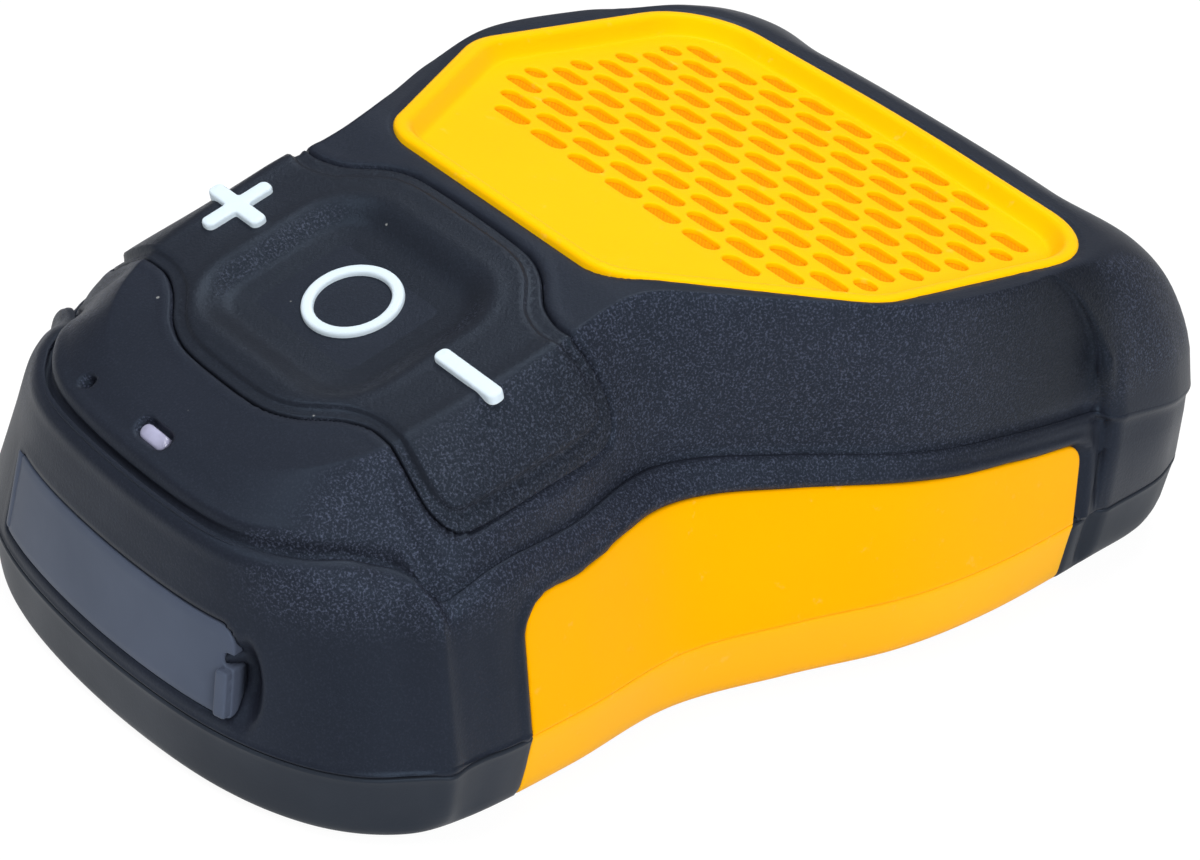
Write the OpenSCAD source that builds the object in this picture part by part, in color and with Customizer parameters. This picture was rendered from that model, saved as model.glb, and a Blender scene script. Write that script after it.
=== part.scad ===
// Palm-size rugged loudspeaker: lofted rubber-skinned shells, tilted grille, sprung keys and a port door.
// The keypad end points to -Y, the grille end to +Y, and the part stands on its base pad at Z = 0.

/* [Body outline] */
// Length of the body over both ends
body_length = 110.6; // [104:0.2:118]
// Half width at the keypad end, on the parting line
near_half = 32.4; // [31:0.2:35]
// Half width at the waist, on the parting line
waist_half = 30.4; // [29:0.2:32]
// Half width at the grille end, on the parting line
far_half = 36.2; // [34:0.2:39]
// Distance of the waist in front of the body centre
waist_back = 12; // [8:1:16]
// Length over which the keypad end corners round off
near_corner = 18; // [15:0.5:21]

/* [Body levels] */
// Height of the parting line above the table
part_z = 8; // [7:0.5:9]
// Height that the base pad lifts the lower shell
base_lift = 0.6; // [0.4:0.1:1]
// Inset of the lower edge of the rear shell
base_inset = 0.8; // [0.4:0.1:1.6]
// Height of the valley above the wall at the keypad end
crease_z = 26; // [24.6:0.2:27]
// Fall of the valley towards the grille end
crease_drop = 11.2; // [10:0.2:12.4]
// Valley inset from the parting line at the keypad end
crease_near_in = 4.6; // [4:0.2:5.4]
// Valley inset at the waist
crease_waist_in = 7; // [6:0.2:8]
// Valley inset at the grille end
crease_far_in = 2.4; // [2:0.2:3.4]
// Valley inset at the end with the keys, lengthwise
crease_front_in = 3.2; // [2.6:0.2:4]
// Valley inset at the end with the grille, lengthwise
crease_back_in = 1.8; // [1.4:0.2:2.6]
// Extra fall of the valley at the keypad corners
corner_dip = 2; // [1:0.2:2.4]
// Width of the flank above the valley, at the keys
shoulder_w = 7; // [6.4:0.2:7.4]
// Length of the soft slope behind the grille
back_slope = 11.2; // [9:0.2:12]
// Wall of the shells
wall = 3.2; // [3:0.1:3.6]
// Thickness of the deck that carries grille and keypad
deck_t = 7.2; // [7:0.1:8]

/* [Grille] */
// Height of the grille face at its front edge
grille_z = 40.8; // [40:0.2:42]
// Angle of the grille face, falling towards the far end
grille_tilt = 8; // [6:0.5:9]
// Length of the grille
grille_l = 54.4; // [52:0.2:57]
// Half width of the grille
grille_half = 29.6; // [28:0.2:30]
// Half length of the short front edge
grille_front_half = 15.8; // [14:0.2:18]
// Thickness of the grille plate at its rim
grille_t = 2.4; // [2.2:0.1:2.6]
// Depth of the perforated field below the rim
field_drop = 1.1; // [0.8:0.1:1.2]
// Width of the smooth rim
rim_w = 3; // [2.4:0.2:4]
// Bare strip behind the front edge
front_strip = 11.7; // [10:0.1:14]
// Sideways pitch of the perforations
hole_pitch = 5.5; // [5:0.1:6.5]
// Row pitch of the perforations
row_pitch = 3; // [2.8:0.1:3.6]
// Length of one perforation
hole_l = 4; // [3:0.1:4.2]
// Width of one perforation
hole_w = 1.9; // [1.4:0.1:2]
// Thickness of the backing cloth
cloth_t = 0.6; // [0.4:0.1:0.8]

/* [Keypad] */
// Height of the key deck at the keys
key_z = 35.8; // [35:0.2:36.6]
// Slope of the key deck
key_tilt = 15.9; // [14:0.5:17]
// Distance of the keys from the keypad end
key_back = 26.9; // [25.4:0.1:28.2]
// Sideways place of the plus and minus keys
key_x = 17; // [16:0.2:17]
// Thickness of the rubber mat
mat_t = 2.2; // [2:0.1:2.4]
// Groove round the mat
mat_groove = 0.5; // [0.3:0.1:0.7]
// Depth of the dish round the middle key
dish_depth = 1.5; // [1.3:0.1:1.8]
// Key travel
key_travel = 0.6; // [0.4:0.1:0.7]
// Height of the key marks above the mat
key_proud = 1.1; // [0.8:0.1:1.2]
// Length of the plus and minus marks
mark_l = 6.8; // [5.6:0.2:7]
// Stroke of the plus and minus marks
mark_w = 2; // [1.6:0.1:2.4]
// Outer radius of the ring mark
ring_r = 4.7; // [4:0.1:5]
// Stroke of the ring mark
ring_w = 1.15; // [0.9:0.05:1.4]
// Gap round each key
key_gap = 0.2; // [0.15:0.05:0.3]

/* [Side panels] */
// Front end of the yellow panels
panel_y0 = -34; // [-35:0.5:-33.5]
// Far end of the yellow panels
panel_y1 = 34.5; // [34:0.5:36]
// Thickness of the panels
panel_t = 1.4; // [1.2:0.1:1.5]
// Trim at both ends of the panels
panel_trim = 0.9; // [0.4:0.1:1.2]
// Distance from the panel top to the valley
panel_below = 2.8; // [2.6:0.1:4]

/* [Port door] */
// Half length of the door
flap_half = 17; // [16:0.2:18]
// Lower edge of the door
flap_z0 = 9.8; // [9.4:0.1:10.4]
// Upper edge of the door
flap_z1 = 18.4; // [17.8:0.2:19]
// Thickness of the door
flap_t = 1.8; // [1.6:0.1:2]
// Gap round the door
flap_gap = 0.35; // [0.3:0.05:0.5]
// Radius of the hinge bead
bead_r = 0.9; // [0.8:0.05:1]

/* [Driver] */
// Radius of the opening in front of the cone
mouth_r = 21; // [19.6:0.2:21.4]
// Width of the driver flange outside that opening
driver_lip = 3.4; // [3:0.1:3.6]

/* [Electronics] */
// Length of the battery
battery_l = 34; // [30:1:35]
// Width of the battery
battery_w = 32; // [28:1:32]
// Thickness of the battery
battery_t = 6.4; // [5:0.2:6.6]
// Thickness of the circuit boards
board_t = 1.4; // [1:0.2:1.6]
// Width of the port shell
port_w = 8.94; // [8.9:0.02:9]
// Height of the port shell
port_h = 3.26; // [3.2:0.02:3.3]
// Clamping screw radius
screw_r = 1.2; // [1:0.1:1.3]

/* [Hidden] */
$fn = 48;
fit = 0.1;              // clearance between pieces that are fixed to each other
past = 1;               // how far a cutting solid runs past the face it cuts
near_y = -body_length / 2;
far_y = body_length / 2;
waist_y = -waist_back;
key_y = near_y + key_back;
driver_r = mouth_r + driver_lip;
steps = 3;              // points on each span of an outline

black = [0.13, 0.14, 0.17];
yellow = [1, 0.7, 0.02];
paler = [0.98, 0.66, 0.16];
white = [0.9, 0.92, 0.94];
grey = [0.27, 0.29, 0.32];
steel = [0.72, 0.73, 0.75];
board_green = [0.08, 0.3, 0.18];

// Plan outlines
// One side of an outline, keypad end to grille end; full fills the far corner, cut trims the near one
function half_outline(n, w, f, y0, y1, k, full, cut) = let (m = waist_y, b = far_half * 0.66) [
    [0, y0], [0.45 * n, y0 + 0.07 * k], [(0.76 - 0.08 * cut) * n, y0 + (0.28 + 0.06 * cut) * k],
    [(0.945 - 0.12 * cut) * n, y0 + (0.61 + 0.12 * cut) * k], [n, y0 + k],
    [(n + w) / 2 + 0.4 + 0.4 * cut, (y0 + k + m) / 2], [w, m], [0.6 * w + 0.4 * f, m + b / 2],
    [0.1 * w + 0.9 * f, m + b], [f, m + 1.5 * b], [(0.967 + 0.01 * full) * f, y1 - 0.95 * k],
    [(0.93 + 0.035 * full) * f, y1 - 0.45 * k], [(0.8 + 0.07 * full) * f, y1 - 0.145 * k],
    [(0.44 + 0.06 * full) * f, y1 - 0.03 * k], [0, y1]];
function mirrored(h) = concat(h, [for (i = [len(h) - 2 : -1 : 1]) [-h[i].x, h[i].y]]);
function spline_at(a, b, c, d, t) = 0.5 * (2 * b + (c - a) * t + (2 * a - 5 * b + 4 * c - d) * t * t
    + (3 * b - a - 3 * c + d) * t * t * t);
function spline(p) = let (n = len(p)) [for (i = [0 : n - 1], s = [0 : steps - 1])
    spline_at(p[(i + n - 1) % n], p[i], p[(i + 1) % n], p[(i + 2) % n], s / steps)];
function inward(r, i) = let (n = len(r), t = r[(i + 1) % n] - r[(i + n - 1) % n]) [-t.y, t.x] / norm(t);
function inset(r, d) = [for (i = [0 : len(r) - 1]) r[i] + inward(r, i) * d];
function mix(a, b, t) = a * (1 - t) + b * t;

part_line = spline(mirrored(half_outline(near_half, waist_half, far_half, near_y, far_y, near_corner, 0, 0)));
crease_half = [near_half - crease_near_in, waist_half - crease_waist_in, far_half - crease_far_in];
crease_ends = [near_y + crease_front_in, far_y - crease_back_in];
crease_line = spline(mirrored(half_outline(crease_half[0], crease_half[1], crease_half[2],
    crease_ends[0], crease_ends[1], near_corner * 0.8, 1, 1)));
top_line = spline(mirrored(half_outline(crease_half[0] - shoulder_w, crease_half[1] - 0.4 * shoulder_w,
    crease_half[2] - 0.314 * shoulder_w, crease_ends[0] + 0.486 * shoulder_w, crease_ends[1] - back_slope,
    near_corner * 0.75, 0, 0)));
ring_n = len(part_line);
ring_i = [0 : ring_n - 1];
half_n = ring_n / 2;
crease_table = [for (i = [0 : half_n]) [crease_line[i].y, crease_line[i].x]];
top_table = [for (i = [0 : half_n]) [top_line[i].y, top_line[i].x]];

// Heights
function soft_min(a, b, k) = let (h = max(k - abs(a - b), 0) / k) min(a, b) - h * h * k / 4;
grille_y = (near_y + far_y) / 2 + 14.4;
grille_front_y = grille_y - grille_l / 2 * cos(grille_tilt);
led_y = near_y + 6.1;
led_z = 28.5;
near_tilt = 28;
ridge_soft = 1.2;
function grille_plane(y) = grille_z - tan(grille_tilt) * (y - grille_front_y);
function key_plane(y) = key_z + tan(key_tilt) * (y - key_y);
function led_plane(y) = led_z + tan(near_tilt) * (y - led_y);
function top_z(y) = soft_min(grille_plane(y), soft_min(key_plane(y), led_plane(y), ridge_soft), ridge_soft);
crease_y0 = near_y + 15;
function smooth(t) = let (u = min(1, max(0, t))) u * u * (3 - 2 * u);
function corner_fall(y) = corner_dip * smooth((y - near_y - 10.3) / 7) * (1 - smooth((y - near_y - 19.3) / 32));
function crease_at(y) = crease_z - crease_drop * pow(max(0, y - crease_y0) / (far_y - crease_y0), 2)
    - corner_fall(y);
// Roundness of the flank between valley and top face: fuller at the two ends
function bulge(y) = 1.5 + 0.15 * smooth((y - 2) / 28) + 0.5 * (1 - smooth((y - near_y - 5.3) / 7));
function shoulder(t, y) = t >= 1 ? 1 : let (p = bulge(y)) pow(1 - pow(1 - t, p), 1 / p);
function cap_z(x, y) = let (c = lookup(y, crease_table), d = c - abs(x))
    mix(crease_at(y), top_z(y), shoulder(max(d, 0) / (c - lookup(y, top_table)), y));

// The lower wall runs from the parting line to just under the valley
wall_share = 0.6;
wall_rise = 0.86;
function wall_top(y) = mix(part_z, crease_at(y), wall_rise);
function wall_ring(t, k, up) = [for (i = ring_i) let (q = mix(part_line[i], crease_line[i], t))
    [q.x, q.y, mix(part_z, crease_at(q.y), k) + up]];
function cap_ring(t, deep = 0, drop = 0) = let (r = inset(mix(crease_line, top_line, t), deep))
    [for (q = r) [q.x, q.y, mix(crease_at(q.y), top_z(q.y), shoulder(t, q.y)) - drop]];
function level_ring(r, z) = [for (q = r) [q.x, q.y, z]];
function skin_ring(r, drop) = [for (q = r) [q.x, q.y, top_z(q.y) - drop]];
function valley_ring(r, drop) = [for (q = r) [q.x, q.y, crease_at(q.y) - drop]];
function backwards(v) = [for (i = [len(v) - 1 : -1 : 0]) v[i]];

// Skin through a list of rings of equal length, closed at both ends by bands across the body
module loft(rings) {
    n = len(rings[0]);
    m = len(rings);
    h = n / 2;
    bands = [for (k = [0 : m - 2], i = [0 : n - 1]) let (j = (i + 1) % n, a = k * n, b = a + n)
        each [[a + i, b + i, b + j], [a + i, b + j, a + j]]];
    first = [for (i = [0 : h - 1]) let (a = i, b = i + 1, c = n - i - 1, d = (n - i) % n)
        each i == 0 ? [[a, b, c]] : i == h - 1 ? [[a, b, d]] : [[a, b, c], [a, c, d]]];
    last = [for (f = first) [for (q = f) q + (m - 1) * n]];
    polyhedron(points = [for (r = rings) each r],
               faces = concat(bands, first, [for (f = last) [f[2], f[1], f[0]]]));
}

// Plate that follows the lower wall over a run of outline points, between two heights
function wall_at(i, z) = let (k = (i + ring_n) % ring_n, p = part_line[k], c = crease_line[k],
    s = (z - part_z) / (wall_top(mix(p, c, wall_share / 2).y) - part_z), q = mix(p, c, s * wall_share))
    [q.x, q.y, z];
function wall_in(i) = let (v = inward(part_line, (i + ring_n) % ring_n)) [v.x, v.y, 0];
function along(i) = let (v = wall_in(i)) [v.y, -v.x, 0];
module wall_plate(run, low, high, out, deep, ends) {
    n = len(run);
    function shift(k, off) = k == 0 ? -ends : k == n - 1 ? ends : max(0, -off) * 0.23;
    function grid(off) = [for (k = [0 : n - 1], z = [low[k], high[k]])
        wall_at(run[k], z) + wall_in(run[k]) * off + along(run[k]) * shift(k, off)];
    pts = concat(grid(-out), grid(deep));
    o = 2 * n;
    faces = [for (k = [0 : n - 2]) let (a = 2 * k) each [
        [a, a + 1, a + 3], [a, a + 3, a + 2],
        [o + a, o + a + 3, o + a + 1], [o + a, o + a + 2, o + a + 3],
        [a + 1, o + a + 1, o + a + 3], [a + 1, o + a + 3, a + 3],
        [a, o + a + 2, o + a], [a, a + 2, o + a + 2]]];
    caps = [[0, o, o + 1], [0, o + 1, 1],
            [o - 2, o - 1, 2 * o - 1], [o - 2, 2 * o - 1, 2 * o - 2]];
    polyhedron(points = pts, faces = concat(faces, caps));
}

// Frames of the tilted pieces
module on_grille() {
    translate([0, grille_y, grille_plane(grille_y)]) rotate([-grille_tilt, 0, 0]) children();
}
module on_keys(x = 0) {
    translate([x, key_y, key_z]) rotate([key_tilt, 0, 0]) children();
}
led_lean = 42;
led_surface = cap_z(0, led_y) - 0.6;
module on_led(x = 0) {
    translate([x, led_y, led_surface]) rotate([led_lean, 0, 0]) children();
}

// Grille outline: polygon with a radius at each corner
function corner_arc(a, b, c, r, n) = let (u = (a - b) / norm(a - b), v = (c - b) / norm(c - b),
    half = acos(u * v) / 2, m = (u + v) / norm(u + v), o = b + m * r / sin(half),
    s = b + u * r / tan(half) - o, turn = (180 - 2 * half) * sign(u.x * v.y - u.y * v.x))
    [for (k = [0 : n]) let (g = -turn * k / n)
        o + [s.x * cos(g) - s.y * sin(g), s.x * sin(g) + s.y * cos(g)]];
function rounded(p, r, n) = let (m = len(p)) [for (i = [0 : m - 1])
    each corner_arc(p[(i + m - 1) % m], p[i], p[(i + 1) % m], r[i], n)];
grille_side_v = grille_l * -0.107;
grille_corner_v = grille_l * 0.434;
far_bow_r = 120;
module grille_outline(grow = 0) {
    e = grow * 0.6;
    right = [[grille_front_half + e, -grille_l / 2 - grow], [grille_half + grow, grille_side_v - e],
             [grille_half + grow, grille_corner_v + e]];
    radii = [6 + grow, 9 + grow, 7 + grow];
    points = concat(right, [[0, grille_l / 2 + grow]], [for (q = backwards(right)) [-q.x, q.y]]);
    polygon(rounded(points, concat(radii, [far_bow_r], backwards(radii)), 5));
}
function slot_points(c) = let (r = hole_w / 2, s = hole_l / 2 - r) [for (e = [1, -1], a = [-90 : 45 : 90])
    c + e * [s + r * cos(a), r * sin(a)]];
first_row_v = -grille_l / 2 + front_strip + hole_w;
rows = floor((grille_l / 2 - rim_w - hole_w - first_row_v) / row_pitch);
function in_field(x, v) = let (edge = rim_w + hole_l / 2 + 0.7)
    abs(x) < grille_half - edge
    && abs(x) < grille_front_half + (v + grille_l / 2) * (grille_half - grille_front_half)
        / (grille_side_v + grille_l / 2) - edge * 1.15
    && v < grille_l / 2 - rim_w - hole_w - abs(x) * (grille_l / 2 - grille_corner_v) / grille_half
    && abs(x) + v < grille_half + grille_corner_v - rim_w * 2.1 - hole_l / 2;
module perforations() {
    for (j = [0 : rows], i = [-8 : 8]) {
        x = hole_pitch * (i + ((j + 1) % 2) / 2);
        v = first_row_v + j * row_pitch;
        if (in_field(x, v)) polygon(slot_points([x, v]));
    }
}

// Keypad mat: half width of its outline along the body
lobe_y0 = key_y - 9.6;
lobe_y1 = key_y + 10.2;
mat_y0 = key_y - 13.8;
mat_y1 = key_y + 13.8;
mat_half = 9.4;
lobe_shelf = 15.2;
lobe_low = 0.15;
// Place on the flank, as a share of the way from the valley to the top face
function lobe(y, share) = [y, mix(lookup(y, crease_table), lookup(y, top_table), share)];
lobe_round = [[0, 0.5], [0.5, 0.3], [1.3, 0.2], [2.6, lobe_low]];
mat_rows = concat([[mat_y0, mat_half - 2.8], [mat_y0 + 0.5, mat_half - 1.3], [mat_y0 + 1.2, mat_half],
    [mat_y0 + 2.5, mat_half + 1.8], [mat_y0 + 3.5, mat_half + 3.4], [lobe_y0 - 0.15, lobe_shelf]],
    [for (q = lobe_round) lobe(lobe_y0 + q.x, q.y)],
    [lobe(key_y - 2.6, lobe_low), lobe(key_y + 2.6, lobe_low)],
    [for (q = backwards(lobe_round)) lobe(lobe_y1 - q.x, q.y)],
    [[lobe_y1 + 0.15, lobe_shelf - 0.4], [lobe_y1 + 1, mat_half + 3.4], [lobe_y1 + 2.2, mat_half + 1.8],
    [mat_y1 - 0.8, mat_half - 0.2], [mat_y1 - 0.3, mat_half - 1.4], [mat_y1, mat_half - 2.6]]);
// Columns of the mat, as distances from its edge, then across its middle
mat_edge = [0, 0.5, 1.2, 2.2, 3.4, 4.8];
function mat_columns(w) = let (e = [for (d = mat_edge) w - d], c = w - mat_edge[len(mat_edge) - 1])
    concat([for (x = e) -x], [-c / 2, 0, c / 2], backwards(e));
function skin_up(x, y) = let (e = 0.03, s = (cap_z(x + e, y) - cap_z(x - e, y)) / (2 * e))
    [-s, 0, 1] / norm([s, 1]);
// Slab over the mat outline, from one depth under the skin of the body to another
module mat_slab(grow, up, down) {
    c = 2 * len(mat_edge) + 3;
    r = len(mat_rows);
    function sway(k) = k == 0 ? -grow : k == r - 1 ? grow : 0;
    function layer(lift) = [for (k = [0 : r - 1]) let (y = mat_rows[k][0] + sway(k),
        w = min(mat_rows[k][1] + grow, lookup(y, crease_table) - 0.035))
        each [for (x = mat_columns(w)) [x, y, cap_z(x, y)] + skin_up(x, y) * lift]];
    o = c * r;
    top = [for (k = [0 : r - 2], i = [0 : c - 2]) let (a = k * c + i)
        each [[a, a + c, a + c + 1], [a, a + c + 1, a + 1]]];
    bottom = [for (f = top) [f[2] + o, f[1] + o, f[0] + o]];
    rim = concat([for (i = [0 : c - 2]) i], [for (k = [0 : r - 2]) k * c + c - 1],
                 [for (i = [c - 1 : -1 : 1]) (r - 1) * c + i], [for (k = [r - 1 : -1 : 1]) k * c]);
    sides = [for (i = [0 : len(rim) - 1]) let (a = rim[i], b = rim[(i + 1) % len(rim)])
        each [[a, b, b + o], [a, b + o, a + o]]];
    polyhedron(points = concat(layer(up), layer(-down)), faces = concat(top, bottom, sides));
}
module rounded_square(w, l, r) {
    polygon(rounded([[w, -l] / 2, [w, l] / 2, [-w, l] / 2, [-w, -l] / 2], [r, r, r, r], 5));
}
dish_w = 23;
dish_l = 20;
dish_floor = 0.62;
dish_wall = 1.2;
module dish(grow) {
    hull() {
        translate([0, 0, 0.2]) linear_extrude(0.1) rounded_square(dish_w + 2 * grow, dish_l + 2 * grow, 5);
        translate([0, 0, -dish_depth - grow]) linear_extrude(0.1)
            rounded_square(dish_w * dish_floor + 2 * grow, dish_l * dish_floor + 2 * grow, 3.4);
    }
}
module plus_shape(grow) {
    square([mark_l + 2 * grow, mark_w + 2 * grow], center = true);
    square([mark_w + 2 * grow, mark_l + 2 * grow], center = true);
}
module minus_shape(grow) {
    square([mark_l + 2 * grow, mark_w + 2 * grow], center = true);
}

// Depths under the key deck, square to it
mat_under = mat_t * cos(key_tilt);
board_top = deck_t * cos(key_tilt);
switch_h = 1.6;
stem_end = board_top - switch_h - key_travel - 0.15;
flange_t = 0.7;
flange_w = 5.4;
dish_under = dish_depth + dish_wall;
window_x = key_x + mark_l / 2 + 2 * key_gap;
window_y0 = -9.8;
window_y1 = 10.2;

// Fixings
case_points = [[near_half - 7, near_y + 22.3], [far_half - 8.7, far_y - 19.3]];
boss_r = 2.8;
boss_top = 16.4;
head_r = 2.1;
head_t = 1.4;
thread_r = screw_r - 0.15;
module at_case_points() {
    for (q = case_points, s = [1, -1]) translate([s * q.x, q.y, 0]) children();
}
driver_screw_r = driver_r - 1.9;
module at_driver_screws() {
    for (a = [45 : 90 : 315]) rotate([0, 0, a]) translate([driver_screw_r, 0, 0]) children();
}
key_board_y0 = -13.4;
key_board_y1 = 13.6;
module at_key_board_screws() {
    for (x = [-10, 10], y = [key_board_y0 + 1.7, key_board_y1 - 1.7]) translate([x, y, 0]) children();
}
board_x = 21;
board_cut = 5;
board_y0 = near_y + 7.5;
board_y1 = waist_y + 3;
board_z = part_z + 3.2;
post_x = 18.6;
post_r = 1.9;
module at_board_posts() {
    for (x = [-post_x, post_x], y = [board_y0 + 5.2, board_y1 - 3]) translate([x, y, 0]) children();
}
port_z = board_z + board_t + port_h / 2;
floor_z = base_lift + wall - 0.2;
pad_t = 1.1;
pad_in = 9;

// Runs of outline points
function run_right(y0, y1) = [for (i = [0 : half_n]) if (part_line[i].y > y0 && part_line[i].y < y1) i];
panel_run = run_right(panel_y0, panel_y1);
flap_steps = len([for (i = [0 : half_n]) if (part_line[i].y < 0 && part_line[i].x < flap_half) i]) - 1;
flap_run = [for (i = [-flap_steps : flap_steps]) i];
// Groove in front of each far corner bumper
bumper_groove = 0.7;
bumper_trim = 1.6;
bumper_run = [panel_run[len(panel_run) - 1], panel_run[len(panel_run) - 1] + 1];
function bumper_top(i) = crease_at(part_line[i].y) - 0.3;
function even(run, z) = [for (i = run) z];
function panel_top(k, n) = let (c = crease_at(part_line[panel_run[k]].y) - panel_below)
    k == 0 || k == n - 1 ? mix(part_z, c, 0.8) : k == 1 || k == n - 2 ? mix(part_z, c, 0.96) : c;
panel_high = [for (k = [0 : len(panel_run) - 1]) panel_top(k, len(panel_run))];
flap_ends = flap_half - part_line[flap_steps].x;
hinge_i = -flap_steps;
hinge_shift = wall_in(hinge_i) * flap_t / 2 - along(hinge_i) * (flap_ends + 0.4 * bead_r);
hinge_foot = wall_at(hinge_i, flap_z0) + hinge_shift;
hinge_head = wall_at(hinge_i, flap_z1) + hinge_shift;
module hinge_rod(r, extra) {
    d = hinge_head - hinge_foot;
    translate(hinge_foot) rotate([0, acos(d.z / norm(d)), atan2(d.y, d.x)])
        translate([0, 0, -extra]) cylinder(r = r, h = norm(d) + 2 * extra);
}

// Pull tab at the free end of the door, with the finger scoop beside it
tab_w = 1.6;
tab_h = 6;
module at_tab() {
    v = wall_in(flap_steps);
    translate(wall_at(flap_steps, flap_z0 + 0.8)) rotate([0, 0, atan2(v.y, v.x)])
        translate([0, -flap_ends, 0]) children();
}

// Shells
module front_shell() {
    outer = [wall_ring(0, 0, 0), wall_ring(wall_share, wall_rise, 0), wall_ring(0.76, 0.955, 0),
             wall_ring(0.88, 0.995, 0), wall_ring(1, 1, -0.3), cap_ring(0.05), cap_ring(0.2),
             cap_ring(0.45), cap_ring(0.7), cap_ring(0.88), cap_ring(1)];
    inner = [level_ring(inset(part_line, wall), part_z), valley_ring(inset(crease_line, wall), wall),
             cap_ring(0.4, wall, 5.6), skin_ring(inset(top_line, wall + 0.6), deck_t)];
    loft(concat(backwards(inner), outer));
}
module port_cut() {
    translate([0, near_y, port_z]) rotate([-90, 0, 0]) linear_extrude(8)
        rounded_square(port_w + 4 * fit, port_h + 4 * fit, 1.6);
}
module front_housing() {
    color(black) difference() {
        union() {
            front_shell();
            wall_plate(flap_run, even(flap_run, part_z + 0.2), even(flap_run, flap_z1 + 2), -1.6,
                       flap_t + 3, 1.5);
            at_case_points() translate([0, 0, part_z + fit]) cylinder(r = boss_r, h = boss_top - part_z);
        }
        on_grille() {
            translate([0, 0, -grille_t - cloth_t - 2 * fit]) linear_extrude(10) grille_outline(2 * fit);
            translate([0, 0, -20]) cylinder(r = mouth_r, h = 20);
            translate([0, 0, -seat - 9]) cylinder(r = driver_r + 3 * fit, h = 9);
            translate([0, 0, -deck_t - past]) at_driver_screws() cylinder(r = thread_r, h = 3 + past);
        }
        mat_slab(mat_groove, 6, mat_t + fit);
        on_keys() {
            translate([-window_x, window_y0, -14]) cube([2 * window_x, window_y1 - window_y0, 14]);
            translate([0, 0, -board_top - 6]) linear_extrude(6) key_board_shape(3 * fit);
            dish(dish_wall + 2 * fit);
            translate([0, 0, -board_top - past]) at_key_board_screws() cylinder(r = thread_r, h = 3 + past);
        }
        for (s = [0, 1]) mirror([s, 0, 0]) {
            wall_plate(panel_run, even(panel_run, part_z - past), [for (z = panel_high) z + fit], 3,
                       panel_t + fit, fit - panel_trim);
            wall_plate(bumper_run, even(bumper_run, part_z - past), [for (i = bumper_run) bumper_top(i)], 3,
                       bumper_groove, -bumper_trim);
        }
        wall_plate(flap_run, even(flap_run, flap_z0 - flap_gap), even(flap_run, flap_z1 + flap_gap), 3,
                   flap_t + flap_gap, flap_ends + flap_gap);
        hinge_rod(bead_r * 1.45 + flap_gap, flap_gap);
        at_tab() {
            translate([-1.4, -2.6, -flap_gap]) cylinder(r = 2.4, h = tab_h + 2 * flap_gap);
            translate([-2, -flap_gap, -flap_gap])
                cube([2 + flap_t, tab_w + 2 * flap_gap, tab_h + 2 * flap_gap]);
        }
        port_cut();
        on_led() translate([0, 0, -9]) linear_extrude(15) led_shape(fit);
        on_led(mic_x) {
            translate([0, 0, -8]) cylinder(r = mic_hole_r, h = 14);
            translate([0, 0, -9]) cylinder(r = mic_r + fit, h = 9 - mic_depth);
        }
        at_case_points() translate([0, 0, part_z - past]) cylinder(r = thread_r, h = 7 + past);
    }
}
module rear_housing() {
    base = inset(part_line, base_inset);
    outer = [level_ring(inset(base, 1.6), base_lift), level_ring(inset(base, 0.5), base_lift + 0.45),
             level_ring(base, base_lift + 1.5), level_ring(part_line, part_z)];
    inner = [level_ring(inset(part_line, wall), part_z), level_ring(inset(base, wall), floor_z + 1),
             level_ring(inset(base, wall + 1), floor_z)];
    color(black) difference() {
        union() {
            loft(concat(outer, inner));
            at_case_points() translate([0, 0, floor_z - 1]) cylinder(r = boss_r, h = part_z - floor_z + 1);
            at_board_posts() translate([0, 0, floor_z - 1]) cylinder(r = post_r, h = board_z - floor_z + 1);
        }
        at_case_points() {
            translate([0, 0, -past]) cylinder(r = screw_r + fit, h = part_z + 2 * past);
            translate([0, 0, -past]) cylinder(r = head_r + 2 * fit, h = base_lift + head_t + 1.2 + past);
        }
        at_board_posts() translate([0, 0, floor_z]) cylinder(r = thread_r, h = board_z);
        translate([0, 0, -past]) linear_extrude(pad_t + past) pad_shape(fit);
        seal_ring(fit);
        for (s = [0, 1]) mirror([s, 0, 0]) base_plate(fit, 3, past);
    }
}
module pad_shape(grow) {
    right = [[near_half - pad_in - 5 + grow, near_y + pad_in + 2 - grow],
             [far_half - pad_in - 5 + grow, far_y - pad_in - 2 + grow]];
    points = concat(right, [for (q = backwards(right)) [-q.x, q.y]]);
    polygon(rounded(points, [for (q = points) pad_in + grow], 6));
}
module base_pad() {
    color(grey) linear_extrude(pad_t) pad_shape(0);
}
seal_t = 1;
module seal_ring(grow) {
    up = grow > 0 ? past : 0;
    translate([0, 0, part_z - seal_t - grow]) linear_extrude(seal_t + grow + up) difference() {
        polygon(inset(part_line, 0.5 + panel_t - grow / 2));
        polygon(inset(part_line, 1.3 + panel_t + grow / 2));
    }
}
module case_seal() {
    color(grey) seal_ring(0);
}

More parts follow.
